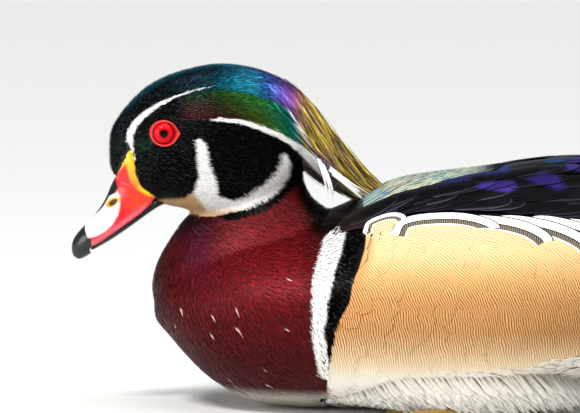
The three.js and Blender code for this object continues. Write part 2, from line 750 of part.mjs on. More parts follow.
// Tail: a short base with the long tail feathers in a low arch, and coverts above and below
const TAIL = {
  pairs: 6,
  root: [157, 78.6], // x and z of the middle feather's root
  rise: deg(9.5),
  length: 82,
  shorter: 3, // each next feather is shorter by this
  spread: deg(2.5), // each next feather points further out by this
  apart: 1.6, // each next root lies further out by this
  step: 1.1, // each next feather lies lower by this
  width: 17,
  thick: 0.75,
  outline: LONG,
  narrow: true,
};
const COVERTS = { thick: 0.9, outline: BROAD, width: 15 };
const UPPER_COVERTS = { pairs: 2, root: [155, 80.6], rise: deg(9.5), length: 44, shorter: 3, ...COVERTS };
const UNDER_COVERTS = { pairs: 2, root: [153, 62], rise: deg(17), length: 50, shorter: 6, ...COVERTS };

// A flat-lying vane from a root point, at an angle in plan and a rise, with its edges a little lower.
function flatVane({ root, turn, rise, length, width, thick, outline, narrow }) {
  const steps = outline.length - 1;
  const [x0, y0, z0] = root;
  const sides = narrow ? [-1, 1] : [-1, 0, 1];
  const vertices = [];
  for (let i = 0; i <= steps; i++) {
    const run = (length * i) / steps;
    const half = (outline[i] * width) / 2;
    for (const side of sides) {
      const across = side * half;
      const x = x0 + Math.cos(turn) * Math.cos(rise) * run - Math.sin(turn) * across;
      const y = y0 + Math.sin(turn) * Math.cos(rise) * run + Math.cos(turn) * across;
      const z = z0 + Math.sin(rise) * run - Math.abs(side) * 0.3 * outline[i];
      const depth = (thick * (side ? 0.7 : 1)) / 2;
      vertices.push(new THREE.Vector3(x, y, z + depth), new THREE.Vector3(x, y, z - depth));
    }
  }
  return vaneSolid(vertices, steps, sides.length);
}
// One feather in the middle and pairs on both sides, each pair a step lower than the last.
function fan(pairs, each) {
  const vanes = [flatVane(each(0))];
  for (let i = 1; i <= pairs; i++) {
    const one = flatVane(each(i));
    vanes.push(one, mirrored(one));
  }
  return vanes;
}
const spreadOut = ({ pairs, root, spread = deg(6), apart = 4.6, step = 1.1, shorter, length, ...look }) =>
  fan(pairs, (i) => ({
    ...look,
    root: [root[0], i * apart, root[1] - i * step],
    turn: spread * i,
    length: length - i * shorter,
  }));
const tailFeathers = [...spreadOut(TAIL), ...spreadOut(UPPER_COVERTS), ...spreadOut(UNDER_COVERTS)];
const wingRoom = hull(grown(COAT, GAP), WING_MESH).intersect(sideBlock(widened(wingOutline, GAP), -FAR, FAR));
const rump = torsoForm.intersect(rearBlock(0));
const tail = fused(rump, tailFeathers).intersect(rearBlock(0)).subtract(wingRoom);
addNode("tail", tail, LOOKS.tailBlack);

// Legs and webbed feet, folded under the belly
const ANKLE = [79, 40, 4.2];
const TOE_JOINT = [46, 44, 3];
const TOES = [
  { tip: [14, 33], radius: 1.9 },
  { tip: [0, 45], radius: 2.1 },
  { tip: [7, 58], radius: 1.9 },
];
// A rounded rod from one point to another.
function limb(from, to, fromRadius, toRadius) {
  const a = new THREE.Vector3(...from);
  const b = new THREE.Vector3(...to);
  const length = a.distanceTo(b);
  const profile = [
    [0, -fromRadius],
    [fromRadius * 0.75, -fromRadius * 0.65],
    [fromRadius, 0],
    [toRadius, length],
    [toRadius * 0.75, length + toRadius * 0.65],
    [0, length + toRadius],
  ];
  const rod = new THREE.LatheGeometry(profile.map(([r, y]) => new THREE.Vector2(r, y)), LIMB_SIDES);
  const way = b.clone().sub(a).normalize();
  rod.applyQuaternion(new THREE.Quaternion().setFromUnitVectors(new THREE.Vector3(0, 1, 0), way));
  return toSolid(rod.translate(...from));
}
const clearOfBody = (solid) =>
  solid.subtract(torsoRoom).subtract(hull(grown(COAT, GAP), FLANK_MESH).intersect(flankBlock(GAP)));
function leg() {
  const tarsus = limb([TOE_JOINT[0] + 6, TOE_JOINT[1], TOE_JOINT[2]], ANKLE, 3, 3.2);
  const shank = limb(ANKLE, [70, 41, 19], 3.8, 5);
  const heelCut = box(TOE_JOINT[0] + 2.5, FAR, -FAR, FAR, 0, FAR);
  return clearOfBody(tarsus.add(shank)).intersect(heelCut);
}
function foot() {
  const [x, y] = TOE_JOINT;
  const toes = TOES.map(({ tip, radius }) => {
    const toe = limb([x - 2, y, 2], [...tip, 1.6], radius + 0.5, radius * 0.7);
    const claw = limb([...tip, 1.6], [tip[0] - 4.5, tip[1], 0.9], 1.1, 0.4);
    return toe.add(claw);
  });
  const web = new THREE.Shape();
  web.moveTo(x - 3, y);
  const [inner, middle, outer] = TOES.map(({ tip }) => tip);
  web.lineTo(inner[0] + 1, inner[1]);
  web.quadraticCurveTo((inner[0] + middle[0]) / 2 + 5, (inner[1] + middle[1]) / 2, middle[0] + 2, middle[1]);
  web.quadraticCurveTo((outer[0] + middle[0]) / 2 + 5, (outer[1] + middle[1]) / 2, outer[0] + 1, outer[1]);
  const sheet = new THREE.ExtrudeGeometry(web, { depth: 1.2, bevelEnabled: false, curveSegments: 4 });
  const knuckle = limb([x - 2, y, 3], [x + 6, y, 3], 3.2, 3);
  const front = box(-FAR, x + 2.2, -FAR, FAR, 0, FAR);
  return clearOfBody(fused(toSolid(sheet), [knuckle, ...toes])).intersect(front);
}
const legRight = leg();
const footRight = foot();
addNode("leg_left", mirrored(legRight), LOOKS.straw);
addNode("leg_right", legRight, LOOKS.straw);
addNode("foot_left", mirrored(footRight), LOOKS.straw);
addNode("foot_right", footRight, LOOKS.straw);

export default group;
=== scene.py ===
import math

import bpy
import numpy as np
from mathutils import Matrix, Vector
from mathutils.bvhtree import BVHTree


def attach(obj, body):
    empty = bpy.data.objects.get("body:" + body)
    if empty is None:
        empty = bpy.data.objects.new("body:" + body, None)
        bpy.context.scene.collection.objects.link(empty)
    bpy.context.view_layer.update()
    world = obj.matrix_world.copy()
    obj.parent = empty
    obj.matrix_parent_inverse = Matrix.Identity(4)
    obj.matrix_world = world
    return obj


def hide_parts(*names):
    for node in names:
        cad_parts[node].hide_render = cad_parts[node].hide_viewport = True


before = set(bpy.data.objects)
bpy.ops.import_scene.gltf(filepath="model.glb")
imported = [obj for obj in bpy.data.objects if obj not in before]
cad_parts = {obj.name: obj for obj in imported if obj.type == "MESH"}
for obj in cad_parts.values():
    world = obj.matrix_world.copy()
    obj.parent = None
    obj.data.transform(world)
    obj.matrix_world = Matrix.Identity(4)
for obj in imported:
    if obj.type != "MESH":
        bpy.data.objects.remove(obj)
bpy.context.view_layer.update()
MM = 0.001
TINY = 1e-9
FINE = 1e-6

# Photograph: its size, its scale, and the pixel where the bird's origin lies
PHOTO_WIDTH = 580
PHOTO_HEIGHT = 413
PIXELS_PER_MM = 2.15
ORIGIN_PIXEL = (390, 404)
CAMERA_RISE = math.radians(5)
CAMERA_DISTANCE = 4000
SENSOR = 36
# A side view point is [x, w]: w is the height as the camera sees it on the near side
VIEW_UP = 0.996
VIEW_OUT = 0.087

# Depth of the coat over the skin in each zone
HEAD_DEPTH = 0.7
NECK_DEPTH = 0.5
BODY_DEPTH = 0.9
WING_DEPTH = 2.2
CREST_DEPTH = 1.8
SKIN_VOXEL = 1.4
BILL_VOXEL = 0.48
# How far a feather's root lies under the skin, how far from its tip its colour is taken,
# and how much of the unwrap it covers
OFF = 0.4
TIP_INSET = 0.5
PATCH = 0.003

# Sections across the bird, front to back:
# [x, top, height of the widest level, bottom, half width], then the roundness if it isn't ROUND
ROUND = (2, 2)
TORSO = [
    [-109.8, 46, 46, 46, 0], [-108.4, 54, 47, 39, 13], [-103.5, 62.5, 49, 33.5, 26],
    [-95, 70, 49, 23.5, 38], [-83, 77, 48.5, 12, 49, 2, 2.05], [-66, 82, 48, 2.6, 58, 2, 2.1],
    [-45, 85, 47.5, -0.8, 64.5, 2, 2.15], [-24, 87.5, 48, -1.2, 68.5, 2, 2.15],
    [0, 93.2, 50, -1.2, 70.5, 2, 2.15], [20, 98.6, 51, -1, 71, 2, 2.15],
    [42, 103, 52, -0.6, 70.5, 2, 2.15], [66, 105, 54, 2, 68, 2, 2.1], [90, 103, 58, 8.5, 62],
    [112, 97, 62.5, 20.5, 52], [132, 90, 67, 34.5, 39.5], [150, 83.5, 70, 49, 26],
    [166, 79.5, 72.5, 61, 16], [178, 77.5, 75, 70.5, 8], [183, 75.5, 75.5, 75.5, 0],
]
HEAD = [
    [-130.8, 119, 119, 119, 0], [-129.8, 127.4, 118, 109.5, 4.2], [-127.3, 133, 116, 105.4, 7.4],
    [-122, 140.2, 114.5, 100.6, 10.2], [-114, 148, 113, 96, 13.6, 1.95, 2.1],
    [-105, 153.2, 112.5, 93.2, 17.2, 1.9, 2.4], [-95, 156.6, 112, 91.3, 20.6, 1.9, 2.8],
    [-82, 159.1, 111.8, 88, 22.6, 1.9, 3.2], [-70, 158.6, 112.5, 88.5, 22.2, 1.9, 3.2],
    [-59, 156, 115, 91.5, 20, 1.9, 3], [-49, 150.8, 119.5, 99.5, 16.6, 1.95, 2.6],
    [-41.5, 143, 124, 109, 12.4, 2, 2.2], [-36.5, 136, 126.5, 119, 7], [-34.5, 127.5, 127.5, 127.5, 0],
]
CREST = [
    [-62, 139, 139, 139, 0], [-56, 153, 138, 124, 12], [-44, 148.4, 130, 113, 12.5],
    [-33, 136.4, 121, 104.2, 10.5], [-22, 121.9, 110, 98.8, 8], [-12, 110.6, 102, 94.4, 5.4],
    [-4, 102.4, 99, 95.8, 3], [0.2, 99, 97.9, 97, 1.3], [1.6, 97.6, 97.6, 97.6, 0],
]
CREST_CORE = [*CREST[:4], [-25, 118, 114, 110, 0]]
# The outer form of the folded wings above and the flanks below
COAT = [
    [-75, 60, 60, 60, 0], [-68, 74, 50, 26, 40], [-55, 81, 48, 5, 58, 2, 2.1],
    [-42, 86, 48, -0.2, 65.5, 2, 2.15], [-28, 91.5, 48.5, -1, 70, 2, 2.15],
    [-12, 98.5, 49.5, -1.2, 73.2, 2, 2.15], [4, 105.6, 51, -1.2, 75, 2, 2.15],
    [23, 108.9, 53, -1, 75.8, 2, 2.15], [42, 111.4, 54, -0.6, 75.5, 2, 2.15],
    [64, 114.2, 56, 2, 73, 2, 2.1], [88, 115.3, 59, 8.5, 67], [112, 112.5, 64, 20.5, 57],
    [134, 107.3, 70, 36, 44], [156, 101, 76, 54, 29], [172, 95.5, 81.5, 68, 17], [183, 91.5, 86, 80, 8],
    [187, 87.5, 87.5, 87.5, 0],
]
# Level sections up the neck: [height, front, x of the widest place, back, half width]
NECK = [
    [32, -64, -64, -64, 0], [36, -84, -64, -42, 18], [42, -100, -64, -32, 31], [48, -109, -64, -26, 39],
    [54, -110.6, -64, -23, 41.5], [60, -110, -64, -21, 41], [67, -107.8, -64, -20, 38.5],
    [74, -104, -64, -18, 34.5], [82, -98.9, -64, -18.5, 29.5], [88, -94, -64, -24, 24.5],
    [92.5, -89.6, -64, -31.5, 20.5], [97, -86.5, -63, -36.6, 17.8], [104, -84, -62, -40, 15],
    [112, -80, -61, -41, 12.5], [118.5, -72, -60, -47, 8.5], [121, -60, -60, -60, 0],
]
# Line between flank and wing in the side view, and inner edge of the wing in plan
WING_EDGE = [
    [-50, 62], [-38, 70], [-28, 78], [-16, 84.5], [-2, 88.5], [20, 90.5], [44, 89.5], [66, 86.5],
    [88, 82.5], [110, 79], [130, 79.5], [150, 82.5], [187, 87],
]
WING_INNER = [[-52, 34], [-24, 28], [0, 26], [20, 26], [29, 21], [36, 15], [44, 8], [54, 0]]
MANTLE_RISE = 0.4
SOCKET_FLOOR = 11


# Small helpers
def mix(a, b, t):
    return a + (b - a) * t


def smooth(t):
    t = np.clip(t, 0, 1)
    return t * t * (3 - 2 * t)


def power(value, exponent):
    return np.sign(value) * np.abs(value) ** exponent


def unit(vectors):
    return vectors / np.maximum(np.linalg.norm(vectors, axis=-1, keepdims=True), TINY)


def along_line(points, x):
    line = np.array(points, float)
    return np.interp(x, line[:, 0], line[:, 1])


# The name of a piece on one side of the bird.
def sided(name, side):
    return name + ("_right" if side > 0 else "_left")


# A colour given as the eye sees it, in the light values a shader uses.
def rgb(red, green, blue):
    value = np.array([red, green, blue]) / 255
    return np.where(value <= 0.04045, value / 12.92, ((value + 0.055) / 1.055) ** 2.4)


# Rows of numbers as one smooth curve through them, with the poles rounded by a mirrored neighbour.
def smooth_rows(rows, share):
    rows = np.array([[*row, *ROUND][:7] for row in rows], float)

    def beyond(pole, near):
        high = 2 * pole[2] - near[3]
        low = 2 * pole[2] - near[1]
        return [near[0], high, pole[2], low, -near[4], near[5], near[6]]

    full = np.vstack([beyond(rows[0], rows[1]), rows, beyond(rows[-1], rows[-2])])
    apart = np.linalg.norm(np.diff(full[:, :5], axis=0), axis=1)
    knots = np.concatenate([[0], np.cumsum(apart)])
    last = len(rows) - 1
    s = mix(knots[1], knots[last + 1], np.asarray(share, float))
    i = np.clip(np.searchsorted(knots, s) - 1, 1, last)
    width = (knots[i + 1] - knots[i])[:, None]
    t = (s - knots[i])[:, None] / width
    before = (full[i + 1] - full[i - 1]) / (knots[i + 1] - knots[i - 1])[:, None]
    after = (full[i + 2] - full[i]) / (knots[i + 2] - knots[i])[:, None]
    bends = before * width * (t**3 - 2 * t**2 + t) + after * width * (t**3 - t**2)
    return full[i] * (2 * t**3 - 3 * t**2 + 1) + full[i + 1] * (3 * t**2 - 2 * t**3) + bends


# The same sections with every side moved outwards by a small amount.
def grown(rows, by):
    made = [list(row) for row in rows]
    for row in made[1:-1]:
        out = by if row[1] > row[3] else -by
        row[1] += out
        row[3] -= out
        row[4] += by
    longer = by * math.copysign(1, made[-1][0] - made[0][0])
    made[0][0] -= longer
    made[-1][0] += longer
    return made


# Points on sections, with the angle in radians from the top towards the right side.
def on_section(row, angle):
    along, top, middle, bottom, half, n_top, n_bottom = np.moveaxis(row, -1, 0)
    upper = np.cos(angle) >= 0
    n = 2 / np.where(upper, n_top, n_bottom)
    side = half * power(np.sin(angle), n)
    reach = np.where(upper, top - middle, middle - bottom) * power(np.cos(angle), n)
    return np.stack([along + 0 * angle, side, middle + reach], -1)


# Triangles: two for every four neighbours in a grid, and a fan round one point.
def quads(a, b, c, d):
    return np.vstack([np.stack([a, b, c], -1).reshape(-1, 3), np.stack([a, c, d], -1).reshape(-1, 3)])


def fan(centre, a, b):
    return np.stack([centre + 0 * a, a, b], -1)


# The triangles of a closed form: rings of points, followed by its first and its last pole.
def ring_triangles(rings, around):
    ring = np.arange(around)
    beside = (ring + 1) % around
    low = np.arange(rings - 1)[:, None] * around
    end = (rings - 1) * around
    sides = quads(low + ring, low + beside, low + around + beside, low + around + ring)
    first, last = rings * around, rings * around + 1
    return np.vstack([sides, fan(first, beside, ring), fan(last, end + ring, end + beside)])


# A closed form through sections: its points and its triangles.
def hull(rows, steps=120, around=96, upright=False):
    table = smooth_rows(rows, np.linspace(0, 1, steps + 1))
    angle = np.linspace(0, 2 * math.pi, around, endpoint=False)
    rings = on_section(table[:, None, :], angle[None, :])
    points = np.vstack([rings[1:-1].reshape(-1, 3), rings[0, 0], rings[-1, 0]])
    if upright:
        points = points[:, ::-1]
    return points, facing_out(points, ring_triangles(steps - 1, around))


# The triangles turned, if need be, so that the closed form's volume is positive.
def facing_out(points, triangles):
    a, b, c = (points[triangles[:, k]] for k in range(3))
    volume = np.einsum("ij,ij->i", a, np.cross(b, c)).sum()
    return triangles if volume > 0 else triangles[:, ::-1]


def joined(forms):
    starts = np.cumsum([0] + [len(points) for points, _ in forms])
    triangles = [triangles + start for (_, triangles), start in zip(forms, starts)]
    return np.vstack([points for points, _ in forms]), np.vstack(triangles)


# A form's surface to lay feathers on: points from x and angle, and the nearest point above a place.
class Guide:
    def __init__(self, rows):
        self.table = smooth_rows(rows, np.linspace(0, 1, 801))
        self.table = self.table[np.argsort(self.table[:, 0])]

    def rows_at(self, x):
        columns = [np.interp(x, self.table[:, 0], self.table[:, k]) for k in range(7)]
        return np.stack(columns, -1)

    def place(self, x, angle, lift=0):
        row = self.rows_at(x)
        row[..., 1] += lift
        row[..., 3] -= lift
        row[..., 4] += lift
        return on_section(row, angle)

    def angle_of(self, points):
        _, top, middle, bottom, half, n_top, n_bottom = np.moveaxis(self.rows_at(points[..., 0]), -1, 0)
        upper = points[..., 2] >= middle
        n = np.where(upper, n_top, n_bottom) / 2
        reach = np.where(upper, top - middle, middle - bottom)
        side = points[..., 1] / np.maximum(half, FINE)
        up = (points[..., 2] - middle) / np.maximum(reach, FINE)
        return np.arctan2(power(side, n), power(up, n))

    def onto(self, points, lift):
        return self.place(points[..., 0], self.angle_of(points), lift)

    # Angle on the near side at which the surface lies at height w in the side view.
    def angle_at(self, x, w):
        angles = np.linspace(0, 2.4, 241)
        grid = self.place(np.full(241, float(x)), angles)
        level = VIEW_UP * grid[:, 2] - VIEW_OUT * np.abs(grid[:, 1])
        return float(np.interp(-w, -level, angles))


# Meshes
def mesh_object(name, points, triangles, attributes=(), uv=None, normals=None):
    mesh = bpy.data.meshes.new(name)
    mesh.vertices.add(len(points))
    mesh.vertices.foreach_set("co", (points * MM).astype(np.float32).ravel())
    mesh.loops.add(triangles.size)
    mesh.loops.foreach_set("vertex_index", triangles.astype(np.int32).ravel())
    mesh.polygons.add(len(triangles))
    mesh.polygons.foreach_set("loop_start", np.arange(0, triangles.size, 3, dtype=np.int32))
    mesh.update(calc_edges=True)
    mesh.shade_smooth()
    for key, values in dict(attributes).items():
        add_attribute(mesh, key, values)
    if uv is not None:
        layer = mesh.uv_layers.new(name="OFBake")
        layer.data.foreach_set("uv", uv[triangles.ravel()].astype(np.float32).ravel())
    if normals is not None:
        mesh.normals_split_custom_set_from_vertices(unit(normals).astype(np.float32))
    made = bpy.data.objects.new(name, mesh)
    bpy.context.scene.collection.objects.link(made)
    return made


def add_attribute(mesh, key, values):
    kind, field = ("FLOAT", "value") if values.ndim == 1 else ("FLOAT_COLOR", "color")
    if values.ndim > 1:
        values = np.column_stack([values, np.ones(len(values))])
    layer = mesh.attributes.new(key, kind, "POINT")
    layer.data.foreach_set(field, values.astype(np.float32).ravel())


# One even, closed surface round joined forms: points and triangles.
def remeshed(form, voxel, smoothing):
    rough = mesh_object("rough", *form)
    cover = rough.modifiers.new("cover", "REMESH")
    cover.mode = "VOXEL"
    cover.voxel_size = voxel * MM
    ease = rough.modifiers.new("ease", "SMOOTH")
    ease.factor = 0.5
    ease.iterations = smoothing
    even = rough.evaluated_get(bpy.context.evaluated_depsgraph_get()).to_mesh()
    points = np.empty(len(even.vertices) * 3, np.float32)
    even.vertices.foreach_get("co", points)
    even.calc_loop_triangles()
    triangles = np.empty(len(even.loop_triangles) * 3, np.int32)
    even.loop_triangles.foreach_get("vertices", triangles)
    bpy.data.objects.remove(rough)
    return points.reshape(-1, 3).astype(float) / MM, triangles.reshape(-1, 3)


def vertex_normals(points, triangles):
    a, b, c = (points[triangles[:, k]] for k in range(3))
    face = np.cross(b - a, c - a)
    total = np.zeros_like(points)
    for k in range(3):
        np.add.at(total, triangles[:, k], face)
    return unit(total)


# Skin: torso, neck, head, core of the crest, and the form under the wings and flanks
def coat_form():
    points, triangles = hull(grown(COAT, -WING_DEPTH + 0.2), 140, 120)
    x, y, z = points.T
    inner = along_line(WING_INNER, x)
    fade = smooth((52 - x) / 40)
    inside = smooth((inner - np.abs(y) + 3) / 7) * (z > 60)
    z = z + MANTLE_RISE * fade * inside
    edge = along_line(WING_EDGE, x) + 1.5
    clear = smooth((x - 132) / 14)
    z = np.maximum(z, mix(-20, edge, clear))
    return np.column_stack([x, y, z]), triangles


class Skin:
    def __init__(self):
        forms = [
            hull(grown(TORSO, -BODY_DEPTH)),
            hull(grown(NECK, -NECK_DEPTH), upright=True),
            hull(grown(HEAD, -HEAD_DEPTH)),
            hull(grown(CREST_CORE, -CREST_DEPTH)),
            coat_form(),
        ]
        self.points, self.triangles = remeshed(joined(forms), SKIN_VOXEL, 6)
        self.points[:, 2] = np.maximum(self.points[:, 2], 0.3)
        out = np.abs(self.points[:, 1])
        socket = smooth((0.98 - eye_share(self.points)) / 0.2) * (out > SOCKET_FLOOR)
        self.points[:, 1] *= mix(1, SOCKET_FLOOR / np.maximum(out, SOCKET_FLOOR), socket)
        self.normals = vertex_normals(self.points, self.triangles)
        corners = self.points[self.triangles]
        self.middles = corners.mean(1)
        cross = np.cross(corners[:, 1] - corners[:, 0], corners[:, 2] - corners[:, 0])
        self.areas = np.linalg.norm(cross, axis=1) / 2
        self.face_normals = unit(self.normals[self.triangles].mean(1))
        self.tree = BVHTree.FromPolygons(self.points.tolist(), self.triangles.tolist())

    # Nearest points on the skin and the normals there.
    def nearest(self, points):
        places = np.empty_like(points)
        faces = np.empty(len(points), int)
        for i, point in enumerate(points):
            place, _, face, _ = self.tree.find_nearest(point)
            places[i] = place
            faces[i] = face
        return places, self.face_normals[faces]

    # Random points in a zone, none nearer to another than the spacing.
    def scatter(self, inside, spacing, seed):
        random = np.random.default_rng(seed)
        weights = self.areas * inside
        count = int(weights.sum() / spacing**2 * 5)
        faces = random.choice(len(weights), count, p=weights / weights.sum())
        a, b = random.random((2, count, 1))
        over = a + b > 1
        a, b = np.where(over, 1 - a, a), np.where(over, 1 - b, b)
        corners = self.points[self.triangles[faces]]
        points = corners[:, 0] + a * (corners[:, 1] - corners[:, 0]) + b * (corners[:, 2] - corners[:, 0])
        kept = thinned(points, spacing)
        return points[kept], self.face_normals[faces[kept]]


# Indices of points that keep their distance from those kept before them.
def thinned(points, spacing):
    cells = {}
    kept = []
    keys = np.floor(points / spacing).astype(int).tolist()
    near = [(i, j, k) for i in (-1, 0, 1) for j in (-1, 0, 1) for k in (-1, 0, 1)]
    limit = spacing * spacing
    for index, (point, (i, j, k)) in enumerate(zip(points.tolist(), keys)):
        x, y, z = point
        for di, dj, dk in near:
            other = cells.get((i + di, j + dj, k + dk))
            if other and (other[0] - x) ** 2 + (other[1] - y) ** 2 + (other[2] - z) ** 2 < limit:
                break
        else:
            cells[(i, j, k)] = point
            kept.append(index)
    return np.array(kept)


# Lie of the coat: at each place [x, distance from the middle, z], the way [back, out, up] that feathers point
LIE = [
    [-129, 0, 122, 0.35, 0, 0.94], [-120, 0, 142, 0.75, 0, 0.66], [-100, 0, 154, 0.97, 0, 0.2],
    [-80, 0, 159, 1, 0, -0.05], [-58, 0, 156, 0.9, 0, -0.4], [-45, 0, 147, 0.72, 0, -0.68],
    [-30, 0, 130, 0.7, 0, -0.7], [-118, 12, 118, 0.9, 0.1, 0.35], [-105, 15, 138, 0.98, 0, 0.15],
    [-105, 17, 112, 0.98, 0, -0.15], [-100, 18, 100, 0.95, 0, -0.2], [-85, 21, 108, 0.98, 0, -0.1],
    [-65, 20, 115, 0.95, 0, -0.25], [-52, 16, 105, 0.85, 0, -0.45], [-80, 20, 130, 0.99, 0, -0.05],
    [-58, 17, 135, 0.85, 0, -0.5], [-45, 10, 130, 0.7, 0, -0.7], [-105, 5, 93, 1, 0, -0.1],
    [-85, 10, 90, 0.95, 0.1, -0.3], [-62, 16, 97, 0.35, 0.2, -0.9], [-88, 5, 92, 0.1, 0.1, -1],
    [-40, 5, 100, 0.7, 0, -0.7], [-33, 12, 95, 0.85, 0.2, -0.4], [-102, 10, 75, -0.1, 0.2, -1],
    [-110, 5, 55, 0, 0.1, -1], [-105, 10, 35, 0.35, 0.1, -0.9], [-70, 40, 75, 0.4, 0.3, -0.85],
    [-75, 50, 55, 0.6, 0.1, -0.75], [-70, 45, 25, 0.85, 0, -0.5], [-40, 45, 80, 0.5, 0.2, -0.7],
    [-50, 62, 50, 0.8, 0, -0.6], [-28, 64, 62, 0.45, 0, -0.85], [-18, 66, 70, 0.85, 0, -0.3],
    [-14, 68, 50, 0.92, 0, -0.2], [-6, 62, 84, 0.9, 0, 0.1], [-25, 68, 35, 0.4, 0, -0.9],
    [0, 70, 60, 0.9, 0, 0.4], [30, 72, 75, 0.8, 0, 0.6], [30, 74, 50, 0.97, 0, 0.3],
    [70, 68, 75, 0.8, 0, 0.6], [100, 60, 60, 0.9, 0, 0.4], [30, 60, 20, 1, 0, 0.1], [0, 0, 0, 1, 0, 0],
    [80, 0, 5, 1, 0, 0.15], [140, 0, 45, 0.8, 0, 0.5], [0, 15, 95, 0.97, 0, 0.2],
    [60, 20, 112, 1, 0, 0.05], [130, 20, 105, 0.97, 0, -0.2],
]


# Directions turned until they lie flat on a surface.
def flattened(ways, normals):
    return unit(ways - (ways * normals).sum(-1, keepdims=True) * normals)


def lie_of_coat(points, normals):
    table = np.array(LIE, float)
    folded = points * [1, 0, 1] + np.abs(points) * [0, 1, 0]
    apart = ((folded[:, None, :] - table[None, :, :3]) ** 2).sum(-1)
    weights = 1 / (apart + 9) ** 1.6
    way = (weights[:, :, None] * table[None, :, 3:]).sum(1)
    way[:, 1] *= np.sign(points[:, 1])
    return flattened(way, normals)


# Closed feather bodies: rows of points across an arched upper face over a flat lower one
def vane_triangles(stations, across):
    grid = np.arange(stations * across).reshape(stations, across)
    left, right, root, tip = grid[:, 0], grid[:, -1], grid[0], grid[-1]
    upper = quads(grid[:-1, :-1], grid[:-1, 1:], grid[1:, 1:], grid[1:, :-1])
    lower = quads(left[:-1], left[1:], right[1:], right[:-1])
    return np.vstack([upper, lower, fan(root[0], root[2:], root[1:-1]), fan(tip[0], tip[1:-1], tip[2:])])


def repeated(template, count, size):
    return (template[None] + (np.arange(count) * size)[:, None, None]).reshape(-1, 3)


# Points set out on both sides of lines of places.
def spread_out(line, aside, half, side):
    return line[..., None, :] + aside[..., None, :] * (half[..., None] * side)[..., None]


# A coat: the points of all its feathers, each with as many, their triangles, and where they grow.
def as_coat(points, facing, roots, t, side, turned=False, **more):
    each = len(t) * len(side)
    triangles = repeated(vane_triangles(len(t), len(side)), len(roots), each)
    return {
        "points": points.reshape(-1, 3),
        "normals": facing.reshape(-1, 3),
        "triangles": triangles[:, ::-1] if turned else triangles,
        "each": each,
        "roots": roots,
        "patch": np.stack(np.meshgrid(t, side / 2 + 0.5, indexing="ij"), -1).reshape(-1, 2),
        **more,
    }


# Outlines: share of the full width from the root at 0 to the tip at 1
def round_tip(t):
    return (0.4 + 0.6 * smooth(t / 0.45)) * np.sqrt(np.maximum(1 - t**5, 0.004))


def lens(t):
    apart = np.abs(2 * t - 1)
    rear = np.maximum(1 - apart**1.9, 0.0004) ** 0.6
    return np.where(t < 0.5, np.maximum(1 - apart**2.6, 0.0004) ** (1 / 2.6), rear)


def sharp_tip(t):
    return (0.7 + 0.3 * smooth(t / 0.3)) * np.maximum(1 - t**1.8, 0.04)


# Small feathers of one zone: roots on the skin, each following the skin along the lie of the coat.
def small_feathers(
    skin, roots, normals, seed, length, width, lift,
    stray=0.1, tilt=0.45, stations=3, across=3, arch=0.18, droop=0, climb=0.8,
):
    random = np.random.default_rng(seed)
    count = len(roots)
    length = (length(roots) if callable(length) else length) * random.uniform(0.8, 1.2, count)
    width = width * random.uniform(0.85, 1.15, count)
    way = lie_of_coat(roots, normals)
    way = unit(way + np.cross(way, normals) * random.normal(0, stray, (count, 1)))
    shares, side = np.linspace(0, 1, stations), np.linspace(-1, 1, across)
    centres, ups, ways = [roots], [normals], [way]
    for step in np.diff(shares):
        place, up = skin.nearest(centres[-1] + ways[-1] * (step * length)[:, None])
        centres.append(place)
        ups.append(up)
        ways.append(flattened(ways[-1], up))
    centre, up = np.stack(centres, 1), np.stack(ups, 1)
    aside = np.cross(np.stack(ways, 1), up)
    raised = mix(-OFF, lift, shares**climb) * random.uniform(0.95, 1.05, (count, 1))
    half = width[:, None] * round_tip(shares) / 2
    points = spread_out(centre, aside, half, side)
    upward = np.broadcast_to(up[:, :, None], points.shape)
    if across > 3:
        place, over = skin.nearest(points.reshape(-1, 3))
        points, upward = place.reshape(points.shape), over.reshape(points.shape)
    level = raised[:, :, None] + (arch * half)[:, :, None] * (1 - side**2)
    rim = np.maximum(smooth((np.abs(side) - 0.5) / 0.5), smooth((shares - 0.72) / 0.28)[:, None])
    points = points + upward * (level - droop * rim)[..., None]
    facing = upward + aside[:, :, None] * (side * tilt)[:, None]
    run = (shares * length[:, None])[:, :, None] + 0 * side
    seen = centre[:, -1] + unit(centre[:, -2] - centre[:, -1]) * TIP_INSET
    return as_coat(points, facing, roots, shares, side, seen=seen, run=run.reshape(-1))


# Where the points of a coat take their colour: their own place, moved a little from feather to feather.
def colour_places(coat, stray, seed):
    random = np.random.default_rng(seed + 70)
    moved = np.repeat(random.normal(0, stray, (len(coat["roots"]), 2)), coat["each"], axis=0)
    x, w = side_view(coat["points"])
    return x + moved[:, 0], w + moved[:, 1]


# Side view place of points: x, and the height as the camera sees it.
def side_view(points):
    return points[..., 0], VIEW_UP * points[..., 2] - VIEW_OUT * np.abs(points[..., 1])


# Unwrap of the skin's own shape: share along the bird, and the angle round it from the back to the belly.
def unwrap(points, box):
    low, high, axis = box
    u = (points[..., 0] - low) / (high - low)
    v = np.arctan2(np.abs(points[..., 1]), points[..., 2] - axis) / math.pi
    return np.stack([np.clip(u, 0, 1), np.clip(v, 0, 1)], -1) * 0.99


def feather_object(name, coat, tint, gloss, box, extra=()):
    each = coat["each"]
    uv = np.repeat(unwrap(coat["roots"], box), each, axis=0)
    uv = uv + np.tile(coat["patch"], (len(coat["roots"]), 1)) * PATCH
    if tint.shape[0] == len(coat["roots"]):
        tint = np.repeat(tint, each, axis=0)
        gloss = np.repeat(gloss, each)
    points = coat["points"].copy()
    points[:, 2] = np.maximum(points[:, 2], 0.1)
    attributes = {"tint": tint, "gloss": gloss, **dict(extra)}
    return mesh_object(name, points, coat["triangles"], attributes, uv, coat["normals"])


